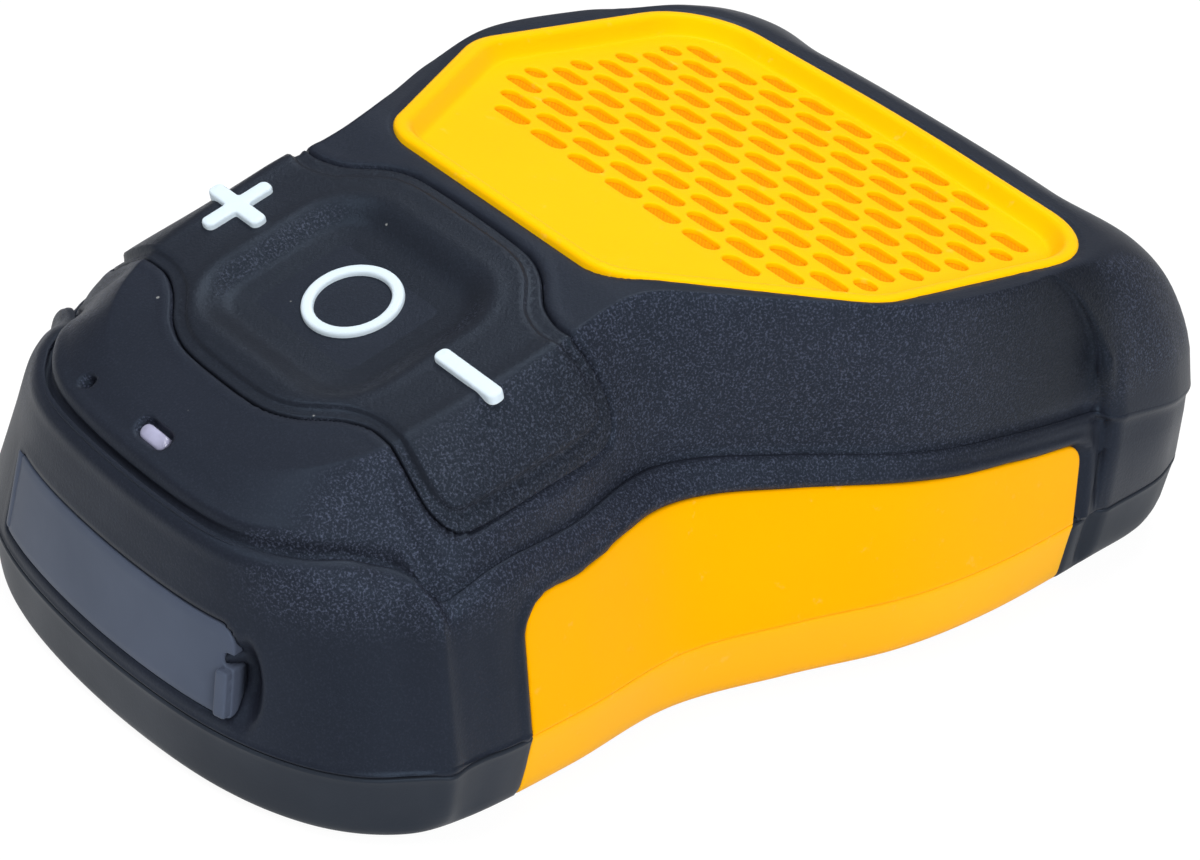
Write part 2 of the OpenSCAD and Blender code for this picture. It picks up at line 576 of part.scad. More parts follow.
// Yellow panels
module side_panel_right() {
    color(yellow) wall_plate(panel_run, even(panel_run, part_z), panel_high, 0, panel_t, -panel_trim);
}
module side_panel_left() {
    mirror([1, 0, 0]) side_panel_right();
}
base_panel_z = base_lift + 1.5;
module base_plate(grow, out, up) {
    run = panel_run;
    n = len(run);
    lower = inset(part_line, base_inset);
    rise = part_z - base_panel_z;
    function shift(k, off) = k == 0 ? panel_trim - grow
        : k == n - 1 ? grow - panel_trim : max(0, -off) * 0.23;
    function point(k, z, off) = let (i = run[k], q = mix(lower[i], part_line[i], (z - base_panel_z) / rise))
        [q.x, q.y, z] + wall_in(i) * off + along(i) * shift(k, off);
    function grid(off) = [for (k = [0 : n - 1], z = [base_panel_z - grow, part_z + up]) point(k, z, off)];
    pts = concat(grid(-out), grid(panel_t + grow));
    o = 2 * n;
    faces = [for (k = [0 : n - 2]) let (a = 2 * k) each [
        [a, a + 1, a + 3], [a, a + 3, a + 2],
        [o + a, o + a + 3, o + a + 1], [o + a, o + a + 2, o + a + 3],
        [a + 1, o + a + 1, o + a + 3], [a + 1, o + a + 3, a + 3],
        [a, o + a + 2, o + a], [a, a + 2, o + a + 2]]];
    caps = [[0, o, o + 1], [0, o + 1, 1],
            [o - 2, o - 1, 2 * o - 1], [o - 2, 2 * o - 1, 2 * o - 2]];
    polyhedron(points = pts, faces = concat(faces, caps));
}
module base_panel_right() {
    color(paler) base_plate(0, 0, 0);
}
module base_panel_left() {
    mirror([1, 0, 0]) base_panel_right();
}

// Grille
module grille() {
    color(yellow) on_grille() difference() {
        translate([0, 0, -grille_t]) linear_extrude(grille_t) grille_outline();
        translate([0, 0, -field_drop]) linear_extrude(grille_t) grille_outline(-rim_w);
        translate([0, 0, -grille_t - past]) linear_extrude(grille_t + past) perforations();
    }
}
module grille_cloth() {
    color([0.95, 0.6, 0.05]) on_grille() translate([0, 0, -grille_t - cloth_t - fit])
        linear_extrude(cloth_t) grille_outline(-0.4);
}

// Keypad and keys
module keypad() {
    color(black) difference() {
        union() {
            mat_slab(0, 0, mat_t);
            on_keys() intersection() {
                dish(dish_wall);
                translate([-20, -20, -10]) cube([40, 40, 9.5]);
            }
        }
        on_keys() {
            dish(0);
            for (s = [1, -1]) translate([s * key_x, 0, -8]) linear_extrude(16)
                if (s > 0) minus_shape(key_gap); else plus_shape(key_gap);
            translate([0, 0, -8]) cylinder(r = ring_r + key_gap, h = 12);
        }
    }
}
module key_stem(from) {
    translate([0, 0, -stem_end]) cylinder(r = 1.2, h = stem_end - from);
}
module side_key(x) {
    top = -mat_under - key_gap;
    color(white) on_keys(x) {
        translate([0, 0, top - flange_t]) linear_extrude(key_proud - top + flange_t) children();
        translate([0, 0, top - flange_t]) linear_extrude(flange_t) square(flange_w, center = true);
        key_stem(-top);
    }
}
module plus_key() {
    side_key(-key_x) plus_shape(0);
}
module minus_key() {
    side_key(key_x) minus_shape(0);
}
play_top = -dish_depth + key_proud;
play_flange = -dish_under - key_gap;
module play_key() {
    color(black) on_keys() {
        translate([0, 0, play_flange]) cylinder(r = ring_r - ring_w, h = play_top - 0.45 - play_flange);
        translate([0, 0, play_flange - flange_t]) cylinder(r = ring_r + 1, h = flange_t);
        key_stem(-play_flange);
    }
}
module play_ring() {
    color(white) on_keys() translate([0, 0, play_flange]) difference() {
        cylinder(r = ring_r, h = play_top - play_flange);
        translate([0, 0, -past]) cylinder(r = ring_r - ring_w, h = 10);
    }
}
module key_board_shape(grow) {
    a = key_x + 2.4 + grow;
    b = 13 + grow;
    right = [[b, key_board_y0 - grow], [a, -7], [a, 8], [b, key_board_y1 + grow]];
    polygon(concat(right, [for (q = backwards(right)) [-q.x, q.y]]));
}
module key_board() {
    color(board_green) on_keys() translate([0, 0, -board_top - board_t - fit]) difference() {
        linear_extrude(board_t) key_board_shape(0);
        at_key_board_screws() translate([0, 0, -past]) cylinder(r = screw_r + fit, h = board_t + 2 * past);
    }
}
switch_w = 4;
module key_switches() {
    color(steel) on_keys() for (x = [-key_x, 0, key_x]) translate([x, 0, -board_top - fit]) {
        translate([-switch_w / 2, -switch_w / 2, 0]) cube([switch_w, switch_w, switch_h - 0.4]);
        cylinder(r = 1, h = switch_h);
    }
}

// Status light and microphone
mic_x = -10.3;
mic_hole_r = 0.6;
mic_r = 1.6;
mic_depth = 4.6;
module led_shape(grow) {
    square([2.2, 1.5 + 2 * grow], center = true);
    for (s = [1, -1]) translate([s * 1.1, 0]) circle(r = 0.75 + grow);
}
module led_lens() {
    color([0.7, 0.7, 0.8]) on_led() translate([0, 0, -6]) linear_extrude(6.7) led_shape(0);
}
module mic_capsule() {
    color(steel) on_led(mic_x) translate([0, 0, -mic_depth - 1.4]) cylinder(r = mic_r, h = 1.4);
}

// Port door, socket and boards
module usb_flap() {
    color(grey) union() {
        wall_plate(flap_run, even(flap_run, flap_z0), even(flap_run, flap_z1), 0, flap_t, flap_ends);
        hinge_rod(bead_r, 0);
        at_tab() translate([-0.6, 0, 0]) cube([flap_t, tab_w, tab_h]);
    }
}
port_l = 7.3;
port_y = near_y + 3.4;
module usb_socket() {
    color(steel) translate([0, port_y, port_z]) rotate([-90, 0, 0]) difference() {
        linear_extrude(port_l) rounded_square(port_w, port_h, 1.5);
        translate([0, 0, -past]) linear_extrude(port_l) rounded_square(port_w - 0.6, port_h - 0.6, 1.2);
    }
}
module usb_tongue() {
    color(black) translate([0, port_y + 1, port_z]) rotate([-90, 0, 0]) linear_extrude(port_l - 2)
        square([6.7, 0.7], center = true);
}
module main_board() {
    color(board_green) difference() {
        translate([0, 0, board_z]) linear_extrude(board_t)
            polygon([[board_x - board_cut, board_y0], [board_x, board_y0 + board_cut], [board_x, board_y1],
                     [-board_x, board_y1], [-board_x, board_y0 + board_cut], [board_cut - board_x, board_y0]]);
        at_board_posts() translate([0, 0, board_z - past])
            cylinder(r = screw_r + fit, h = board_t + 2 * past);
    }
}
module radio_module() {
    color(steel) translate([2, board_y1 - 18, board_z + board_t]) cube([12, 16, 2]);
}
battery_y = board_y0 + 3;
module battery_pad() {
    color(grey) translate([-battery_w / 2 + 2, battery_y + 2, floor_z])
        cube([battery_w - 4, battery_l - 4, 0.4]);
}
module battery_pack() {
    color([0.16, 0.3, 0.55]) translate([-battery_w / 2, battery_y, floor_z + 0.4])
        cube([battery_w, battery_l, battery_t]);
}

// Loudspeaker driver, in the frame of the grille
seat = deck_t * cos(grille_tilt) + fit;
gasket_t = 0.8;
flange_top = seat + gasket_t;
plate_top = flange_top + 9;
plate_t = 2.4;
magnet_t = 4.6;
yoke_t = 2.2;
coil_r = 6.6;
coil_t = 0.5;
roll_out = mouth_r - 1.2;
cone_r = roll_out - 3.2;
gap = 0.4;
ledge = 0.8;
module ring_of(r0, r1, top, t) {
    translate([0, 0, -top - t]) difference() {
        cylinder(r = r1, h = t);
        translate([0, 0, -past]) cylinder(r = r0, h = t + 2 * past);
    }
}
module driver_gasket() {
    color(black) on_grille() difference() {
        ring_of(mouth_r, driver_r, seat, gasket_t);
        translate([0, 0, -seat - 2 * past]) at_driver_screws() cylinder(r = screw_r + fit, h = 4 * past);
    }
}
module driver_frame() {
    color(grey) on_grille() difference() {
        rotate_extrude() polygon([[roll_out - 0.8, -flange_top - 1.6],
            [roll_out - 0.8, -flange_top - ledge], [roll_out + 0.2, -flange_top - ledge],
            [roll_out + 0.2, -flange_top], [driver_r, -flange_top], [driver_r, -flange_top - 1.2],
            [roll_out + 0.4, -flange_top - 1.2], [15.4, -plate_top], [10, -plate_top],
            [10, -plate_top + 1], [14.4, -plate_top + 1]]);
        for (a = [0 : 60 : 300]) rotate([0, 0, a]) translate([12, -4, -plate_top + 1.6]) cube([14, 8, 5.2]);
        translate([0, 0, -flange_top - 4]) at_driver_screws() cylinder(r = screw_r + fit, h = 5);
    }
}
module driver_surround() {
    roll = (roll_out - cone_r) / 2;
    color([0.2, 0.2, 0.21]) on_grille() translate([0, 0, -flange_top - ledge])
        rotate_extrude() difference() {
            translate([cone_r + roll, 0]) circle(r = roll);
            translate([cone_r + roll, 0]) circle(r = roll - 0.5);
            translate([0, -10]) square([40, 10]);
        }
}
module driver_cone() {
    top = -flange_top - ledge;
    color([0.25, 0.24, 0.23]) on_grille() rotate_extrude() polygon([[cone_r + 0.5, top],
        [cone_r + 0.5, top - 0.5], [cone_r - 0.4, top - 0.6], [coil_r, -plate_top + 2.4],
        [coil_r - coil_t, -plate_top + 2.4], [coil_r - coil_t, -plate_top + 3], [cone_r - 1, top]]);
}
module dust_cap() {
    dome = 7;
    sink = sqrt(dome * dome - (coil_r - coil_t) * (coil_r - coil_t));
    color([0.2, 0.2, 0.2]) on_grille() translate([0, 0, -plate_top + 3.2]) rotate_extrude() difference() {
        translate([0, -sink]) circle(r = dome);
        translate([0, -sink]) circle(r = dome - 0.5);
        translate([-40, -40]) square([40, 80]);
        translate([0, -40]) square([40, 40]);
    }
}
module voice_coil() {
    color([0.75, 0.45, 0.2]) on_grille() ring_of(coil_r - coil_t, coil_r, plate_top - 2.4, 5);
}
module pole_plate() {
    color(steel) on_grille() ring_of(coil_r + gap, 14, plate_top, plate_t);
}
module driver_magnet() {
    color([0.2, 0.2, 0.22]) on_grille() ring_of(coil_r + 3, 16, plate_top + plate_t, magnet_t);
}
module driver_yoke() {
    back = plate_top + plate_t + magnet_t;
    pole_r = coil_r - coil_t - gap;
    color(steel) on_grille() rotate_extrude() polygon([[0, -back - yoke_t], [14, -back - yoke_t],
        [14, -back], [pole_r, -back], [pole_r, -plate_top + 0.2], [0, -plate_top + 0.2]]);
}

// Screws
module screw(length) {
    translate([0, 0, -head_t]) cylinder(r = head_r, h = head_t);
    cylinder(r = thread_r - fit / 2, h = length);
}
module driver_screws() {
    color(steel) on_grille() translate([0, 0, -flange_top - 1.2 - fit / 2]) at_driver_screws() screw(4.4);
}
module board_screws() {
    color(steel) {
        on_keys() translate([0, 0, -board_top - board_t - fit]) at_key_board_screws() screw(board_t + 2.6);
        at_board_posts() translate([0, 0, board_z + board_t]) mirror([0, 0, 1]) screw(board_t + 4);
    }
}
module case_screws() {
    color(steel) at_case_points() translate([0, 0, base_lift + head_t + 1.2]) screw(part_z + 2);
}

front_housing();
rear_housing();
case_seal();
base_pad();
grille();
grille_cloth();
side_panel_right();
side_panel_left();
base_panel_right();
base_panel_left();
keypad();
plus_key();
play_key();
play_ring();
minus_key();
key_board();
key_switches();
led_lens();
mic_capsule();
usb_flap();
usb_socket();
usb_tongue();
main_board();
radio_module();
battery_pack();
battery_pad();
driver_gasket();
driver_frame();
driver_surround();
driver_cone();
dust_cap();
voice_coil();
pole_plate();
driver_magnet();
driver_yoke();
driver_screws();
board_screws();
case_screws();
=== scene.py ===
"""Looks of a palm-size rugged loudspeaker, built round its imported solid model."""

import math

import bpy
import numpy as np
from mathutils import Matrix, Vector
from mathutils.geometry import delaunay_2d_cdt


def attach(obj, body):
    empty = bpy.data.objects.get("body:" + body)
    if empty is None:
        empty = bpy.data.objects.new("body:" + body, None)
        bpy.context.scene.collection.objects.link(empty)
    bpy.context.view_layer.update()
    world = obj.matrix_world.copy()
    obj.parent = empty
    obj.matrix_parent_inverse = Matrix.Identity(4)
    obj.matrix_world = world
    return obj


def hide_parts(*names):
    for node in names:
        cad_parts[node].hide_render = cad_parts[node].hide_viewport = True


bl_info = {
    "name": "Palm Loudspeaker Looks",
    "version": (1, 0, 0),
    "blender": (4, 5, 0),
    "location": "View3D > Sidebar > Loudspeaker",
    "description":
        "Dresses the solid model of a palm-size loudspeaker in rubber, moulded and woven finishes",
    "category": "Object",
}

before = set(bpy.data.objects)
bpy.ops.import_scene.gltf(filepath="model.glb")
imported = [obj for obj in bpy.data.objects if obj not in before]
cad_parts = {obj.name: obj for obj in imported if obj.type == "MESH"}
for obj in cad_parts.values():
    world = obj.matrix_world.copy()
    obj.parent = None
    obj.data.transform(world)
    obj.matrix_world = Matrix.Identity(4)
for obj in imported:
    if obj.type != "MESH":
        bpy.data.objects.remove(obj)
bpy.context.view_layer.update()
MM = 0.001

# Main places of the body, in millimetres
NEAR_Y, FAR_Y, WAIST_Y = -55.3, 55.3, -12.0
HALF_WIDTH = 36.2
RIDGE_Y, RIDGE_Z = -12.535, 40.8
PARTING_Z = 8.0
GRILLE_TILT, GRILLE_Y, GRILLE_Z = math.radians(8.0), 14.4, 37.0145
KEY_TILT, KEY_Y, KEY_Z, KEY_X = math.radians(15.9), -28.4, 35.8, 17.0
LIGHT_TILT, LIGHT_Y, MIC_X = math.radians(42.0), -49.2, -10.3
BROW_TILT, BROW_Z = math.radians(28), 28.5
PORT_Z = 14.23
UNDERSIDE_Z = 0.6
BUMPER_Y, BUMPER_GROOVE_Y = 36.4, 36.0
# Spans between the points of one side of a plan outline, and the span place of the corner post
SIDE_SPANS = 14
POST_AT = 3.66


def smooth(t):
    """Nought below nought, one above one, smooth between."""
    t = np.clip(t, 0.0, 1.0)
    return t * t * (3.0 - 2.0 * t)


def mix(a, b, t):
    """A share of the way from one value to another."""
    return a + (b - a) * t


def bell(x, middle, width):
    """One at the middle, dying away on both sides."""
    return np.exp(-((x - middle) / width) ** 2)


def half_points(near, waist, far, y0, y1, corner, full, cut):
    """Points of one side of a plan outline, from the keypad end to the grille end."""
    m, b, k = WAIST_Y, 0.66 * HALF_WIDTH, corner
    return np.array([
        [0, y0], [0.45 * near, y0 + 0.07 * k], [(0.76 - 0.08 * cut) * near, y0 + (0.28 + 0.06 * cut) * k],
        [(0.945 - 0.12 * cut) * near, y0 + (0.61 + 0.12 * cut) * k], [near, y0 + k],
        [(near + waist) / 2 + 0.4 + 0.4 * cut, (y0 + k + m) / 2], [waist, m],
        [0.6 * waist + 0.4 * far, m + b / 2], [0.1 * waist + 0.9 * far, m + b], [far, m + 1.5 * b],
        [(0.967 + 0.01 * full) * far, y1 - 0.95 * k], [(0.93 + 0.035 * full) * far, y1 - 0.45 * k],
        [(0.8 + 0.07 * full) * far, y1 - 0.145 * k], [(0.44 + 0.06 * full) * far, y1 - 0.03 * k], [0, y1]])


# Plan outlines at the parting line, at the valley and round the top face
PART_POINTS = half_points(32.4, 30.4, HALF_WIDTH, NEAR_Y, FAR_Y, 18.0, 0, 0)
CREASE_POINTS = half_points(27.8, 23.4, 33.8, -52.1, 53.5, 14.4, 1, 1)
TOP_POINTS = half_points(18.5, 19.5, 31.6, -48.2, 42.3, 13.5, 0, 0)
TOP_POINTS[7:9, 0] += (1.3, 0.6)


def through(a, b, c, d, t):
    """Place between b and c on the smooth curve through four points."""
    return 0.5 * (2 * b + (c - a) * t + (2 * a - 5 * b + 4 * c - d) * t ** 2
                  + (3 * b - a - 3 * c + d) * t ** 3)


def side_curve(points, at):
    """Smooth curve through the points of one side, at the given places along it."""
    i = np.clip(np.floor(at).astype(int), 0, len(points) - 2)
    t = (at - i)[:, None]
    q = np.vstack([points[1] * [-1, 1], points, points[-2] * [-1, 1]])
    return through(q[i], q[i + 1], q[i + 2], q[i + 3], t)


def open_curve(points, per_span):
    """Smooth open curve through a short list of points."""
    p = np.array(points, float)
    q = np.vstack([2 * p[0] - p[1], p, 2 * p[-1] - p[-2]])
    rows = []
    for i in range(len(p) - 1):
        rows += [through(*q[i:i + 4], t) for t in np.arange(per_span) / per_span]
    return np.array(rows + [p[-1]])


def soft_min(a, b, k=1.2):
    """The lesser of two heights, blended where they meet."""
    h = np.maximum(k - np.abs(a - b), 0) / k
    return np.minimum(a, b) - h * h * k / 4


def top_height(y):
    """Height of the top face: the grille, keypad and brow planes, blended."""
    grille = RIDGE_Z - math.tan(GRILLE_TILT) * (y - RIDGE_Y)
    keys = KEY_Z + math.tan(KEY_TILT) * (y - KEY_Y)
    brow = BROW_Z + math.tan(BROW_TILT) * (y - LIGHT_Y)
    return soft_min(grille, soft_min(keys, brow))


# Rise and fall of the valley round the keypad corner, by place along the body
CURL = open_curve([(-46, 0), (-43, 0.05), (-41.2, 0.45), (-40.2, 0.1), (-39.4, -1.2), (-38.5, -1.0),
                   (-37.5, -0.25), (-35.1, 0.65), (-31.8, 0.95), (-28.3, 0.6), (-24.8, 0.2), (-21, 0),
                   (-18, 0)], 8)


def crease_height(y):
    """Height of the valley: it curls down at the keypad corner, then runs straight along the side."""
    near_z, drop, start_y, length = 26.0, 11.2, -40.3, 95.6
    fall = 2.0 * smooth((y + 45) / 7) * (1 - smooth((y + 36) / 32))
    slope = drop * (np.maximum(0, y - start_y) / length) ** 2
    return near_z - slope - fall + np.interp(y, CURL[:, 0], CURL[:, 1])


def flank_rise(t, y, fuller=0.0):
    """Share of the height from valley to top face at a share of the way in; fuller makes it rounder."""
    p = 1.5 + 0.15 * smooth((y - 2) / 28) + 0.5 * (1 - smooth((y + 50) / 7))
    p = p - 0.27 * smooth((y + 48) / 6) * (1 - smooth((y + 16) / 12)) + fuller
    return np.maximum(0, 1 - np.maximum(0, 1 - t) ** p) ** (1 / p)


FINE = np.linspace(0, SIDE_SPANS, 100 * SIDE_SPANS + 1)
CREASE_SIDE = side_curve(CREASE_POINTS, FINE)
TOP_SIDE = side_curve(TOP_POINTS, FINE)
PART_SIDE = side_curve(PART_POINTS, FINE)
PART_LENGTH = np.concatenate([[0], np.cumsum(np.linalg.norm(np.diff(PART_SIDE, axis=0), axis=1))])
WALL_PROFILE = open_curve([(0, 0), (0.2, 0.287), (0.4, 0.573), (0.6, 0.86), (0.76, 0.95), (0.88, 0.99),
                           (0.95, 0.998), (1, 0.984)], 12)
FLANK_SHARES = np.concatenate([[0.012, 0.035, 0.07], np.linspace(0.11, 0.83, 17),
                               [0.87, 0.91, 0.945, 0.975, 1.0]])


def crease_half(y):
    """Half width of the body at the valley."""
    return np.interp(y, CREASE_SIDE[:, 1], CREASE_SIDE[:, 0], left=0, right=0)


def top_half(y):
    """Half width of the top face."""
    return np.interp(y, TOP_SIDE[:, 1], TOP_SIDE[:, 0], left=0, right=0)


# Length down the flank from the top face, so that outlines can be drawn on the flank laid flat
FLAT_Y = np.linspace(-46, 42, 265)
FLAT_T = np.linspace(1, 0, 49)


def _flank_lengths():
    y = FLAT_Y[:, None]
    x = mix(crease_half(y), top_half(y), FLAT_T[None, :])
    z = mix(crease_height(y), top_height(y), flank_rise(FLAT_T[None, :], y))
    step = np.hypot(np.diff(x, axis=1), np.diff(z, axis=1))
    return np.concatenate([np.zeros((len(FLAT_Y), 1)), np.cumsum(step, axis=1)], axis=1)


FLANK_LENGTHS = _flank_lengths()


def flank_rows(y):
    """Lengths down the flank at places along the body."""
    k = np.clip((y - FLAT_Y[0]) / (FLAT_Y[1] - FLAT_Y[0]), 0, len(FLAT_Y) - 1.001)
    i = k.astype(int)
    return mix(FLANK_LENGTHS[i], FLANK_LENGTHS[i + 1], (k - i)[:, None])


def laid_flat(x, y):
    """Sideways distance from the middle, measured over the skin."""
    c, h = crease_half(y), top_half(y)
    t = np.clip((c - np.abs(x)) / np.maximum(c - h, 1e-6), 0, 1)
    rows = flank_rows(y)
    k = np.clip((1 - t) * (len(FLAT_T) - 1), 0, len(FLAT_T) - 1.001)
    i = k.astype(int)
    n = np.arange(len(y))
    down = mix(rows[n, i], rows[n, i + 1], k - i)
    return np.sign(x) * np.where(np.abs(x) <= h, np.abs(x), h + down)


def deck_surface(flat):
    """Place on the top face or flank of a point drawn on the skin laid flat."""
    q, y = np.abs(flat[:, 0]), flat[:, 1]
    c, h = crease_half(y), top_half(y)
    rows = flank_rows(y)
    want = np.clip(q - h, 0, rows[:, -1] - 1e-4)
    i = np.clip((rows <= want[:, None]).sum(axis=1) - 1, 0, len(FLAT_T) - 2)
    n = np.arange(len(y))
    part = (want - rows[n, i]) / (rows[n, i + 1] - rows[n, i])
    t = mix(FLAT_T[i], FLAT_T[i + 1], part)
    x = np.where(q <= h, q, mix(c, h, t))
    z = np.where(q <= h, top_height(y), mix(crease_height(y), top_height(y), flank_rise(t, y)))
    return np.stack([np.sign(flat[:, 0]) * x, y, z], axis=1)


def wall_surface(flat):
    """Place on the lower wall of a point given by its length round the parting line and its height."""
    at = np.interp(np.abs(flat[:, 0]), PART_LENGTH, FINE)
    p, c = side_curve(PART_POINTS, at), side_curve(CREASE_POINTS, at)
    z = flat[:, 1]
    y = mix(p[:, 1], c[:, 1], 0.35)
    k = (z - PARTING_Z) / (crease_height(y) - PARTING_Z)
    t = np.interp(k, np.maximum.accumulate(WALL_PROFILE[:, 1]), WALL_PROFILE[:, 0])
    t = np.where(k < 0, 0, t)
    q = mix(p, c, t[:, None])
    return np.stack([np.sign(flat[:, 0]) * q[:, 0], q[:, 1], z], axis=1)


# How far in the lower shell lies from the parting line, and at what height
LOWER_LEVELS = np.array([(2.4, UNDERSIDE_Z), (1.95, 0.63), (1.55, 0.82), (1.15, 1.22), (0.92, 1.7),
                         (0.8, 2.3), (0.66, 3.3), (0.49, 4.5), (0.32, 5.8), (0.14, 7.0), (0.03, 7.6),
                         (0.0, PARTING_Z)])


def base_surface(flat):
    """Place on the lower shell of a point given by its length round the parting line and its height."""
    at = np.interp(np.abs(flat[:, 0]), PART_LENGTH, FINE)
    p = side_curve(PART_POINTS, at)
    ahead, behind = (side_curve(PART_POINTS, np.clip(at + by, 0, SIDE_SPANS)) for by in (0.01, -0.01))
    e = ahead - behind
    inward = np.stack([-e[:, 1], e[:, 0]], axis=1) / np.linalg.norm(e, axis=1)[:, None]
    q = p + inward * np.interp(flat[:, 1], LOWER_LEVELS[:, 1], LOWER_LEVELS[:, 0])[:, None]
    return np.stack([np.sign(flat[:, 0]) * q[:, 0], q[:, 1], flat[:, 1]], axis=1)


def tilted(flat, x0, y0, z0, tilt, lift=0.0):
    """Place of a flat point on a face that is tilted about the sideways axis."""
    s, c = math.sin(tilt), math.cos(tilt)
    n = np.broadcast_to(lift, flat[:, 0].shape)
    return np.stack([x0 + flat[:, 0], y0 + flat[:, 1] * c - n * s, z0 + flat[:, 1] * s + n * c], axis=1)


def on_grille(flat, lift=0.0):
    return tilted(flat, 0.0, GRILLE_Y, GRILLE_Z, -GRILLE_TILT, lift)


def on_keys(flat, lift=0.0):
    return tilted(flat, 0.0, KEY_Y, KEY_Z, KEY_TILT, lift)


# Flat outlines
def edge_normals(loop):
    """Directions into a closed outline at its points."""
    t = np.roll(loop, -1, axis=0) - np.roll(loop, 1, axis=0)
    return np.stack([-t[:, 1], t[:, 0]], axis=1) / np.maximum(np.linalg.norm(t, axis=1), 1e-9)[:, None]


def inset(loop, by):
    """The same outline moved in."""
    return loop + edge_normals(loop) * by


def resample(loop, step):
    """The same closed outline with evenly spaced points."""
    p = np.vstack([loop, loop[:1]])
    run = np.concatenate([[0], np.cumsum(np.linalg.norm(np.diff(p, axis=0), axis=1))])
    n = max(12, int(round(run[-1] / step)))
    s = np.arange(n) * run[-1] / n
    return np.stack([np.interp(s, run, p[:, 0]), np.interp(s, run, p[:, 1])], axis=1)


def rounded(corners, radii, n=10):
    """Closed outline from corner points, each with its own radius."""
    p = np.array(corners, float)
    out = []
    for i, r in enumerate(radii):
        b = p[i]
        u = p[i - 1] - b
        v = p[(i + 1) % len(p)] - b
        u, v = u / np.linalg.norm(u), v / np.linalg.norm(v)
        half = math.acos(np.clip(u @ v, -1, 1)) / 2
        o = b + (u + v) / np.linalg.norm(u + v) * r / math.sin(half)
        s = b + u * r / math.tan(half) - o
        turn = (math.pi - 2 * half) * np.sign(u[0] * v[1] - u[1] * v[0])
        for k in range(n + 1):
            g = -turn * k / n
            out.append(o + [s[0] * math.cos(g) - s[1] * math.sin(g), s[0] * math.sin(g) + s[1] * math.cos(g)])
    return np.array(out)


def inside(loop, pts):
    """Which points lie inside a closed outline."""
    hit = np.zeros(len(pts), bool)
    a, b = loop, np.roll(loop, -1, axis=0)
    for (x0, y0), (x1, y1) in zip(a, b):
        if y0 == y1:
            continue
        cross = (y0 > pts[:, 1]) != (y1 > pts[:, 1])
        hit ^= cross & (pts[:, 0] < (x1 - x0) * (pts[:, 1] - y0) / (y1 - y0) + x0)
    return hit


def distance(loop, pts):
    """Distance to an outline, less than zero inside it."""
    best = np.full(len(pts), 1e9)
    a, b = loop, np.roll(loop, -1, axis=0)
    for p, q in zip(a, b):
        d = q - p
        t = np.clip(((pts - p) @ d) / max(d @ d, 1e-12), 0, 1)
        best = np.minimum(best, np.hypot(*(pts - p - t[:, None] * d).T))
    return np.where(inside(loop, pts), -best, best)


def both_sides(right):
    """Closed outline from its right half, listed from the near end to the far end."""
    r = np.array(right, float)
    return np.vstack([r, r[::-1] * [-1, 1]])


def slot_loop(x, y, long, wide, n=10):
    """Outline of a slot with round ends."""
    r = wide / 2
    s = long / 2 - r
    a = np.linspace(-math.pi / 2, math.pi / 2, n)
    right = np.stack([s + r * np.cos(a), r * np.sin(a)], axis=1)
    return np.vstack([right, -right]) + [x, y]


def net(boundary, holes, step, extra=()):
    """Triangles over a flat outline with holes; gives points, faces and where each given loop went."""
    pts, edges, marks = [], [], []
    for loop in [boundary, *holes, *extra]:
        o = len(pts)
        marks.append((o, len(loop)))
        pts += [tuple(q) for q in loop]
        edges += [(o + k, o + (k + 1) % len(loop)) for k in range(len(loop))]
    if step:
        lo, hi = boundary.min(axis=0), boundary.max(axis=0)
        gx, gy = np.meshgrid(np.arange(lo[0], hi[0], step), np.arange(lo[1], hi[1], step * 0.9))
        gx = gx + (np.arange(gx.shape[0]) % 2)[:, None] * step / 2
        g = np.stack([gx.ravel(), gy.ravel()], axis=1)
        keep = distance(boundary, g) < -0.6 * step
        for loop in holes:
            keep &= distance(loop, g) > 0.5 * step
        for loop in extra:
            keep &= np.abs(distance(loop, g)) > 0.4 * step
        pts += [tuple(q) for q in g[keep]]
    got, _, tris, origin, _, _ = delaunay_2d_cdt([Vector(q) for q in pts], edges, [], 0, 1e-7, True)
    flat = np.array([tuple(v) for v in got])
    where = {}
    for new, olds in enumerate(origin):
        for old in olds:
            where[old] = new
    tris = np.array([t for t in tris if len(t) == 3])
    mid = flat[tris].mean(axis=1)
    keep = inside(boundary, mid)
    for loop in holes:
        near = (np.abs(mid - loop.mean(axis=0)) < np.ptp(loop, axis=0) * 0.5 + 0.01).all(axis=1)
        drop = near.copy()
        drop[near] = inside(loop, mid[near])
        keep &= ~drop
    a, b, c = (flat[tris[:, k]] for k in range(3))
    turn = (b[:, 0] - a[:, 0]) * (c[:, 1] - a[:, 1]) - (b[:, 1] - a[:, 1]) * (c[:, 0] - a[:, 0])
    tris[turn < 0] = tris[turn < 0][:, ::-1]
    loops = [[where[o + k] for k in range(n)] for o, n in marks]
    return flat, tris[keep].tolist(), loops


def lifted(surface, flat, drop):
    """Points on a surface, moved in along its normal."""
    e = 0.02
    p = surface(flat)
    n = np.cross(surface(flat + [e, 0]) - p, surface(flat + [0, e]) - p)
    n /= np.maximum(np.linalg.norm(n, axis=1), 1e-12)[:, None]
    return p - n * np.asarray(drop, float)[:, None]


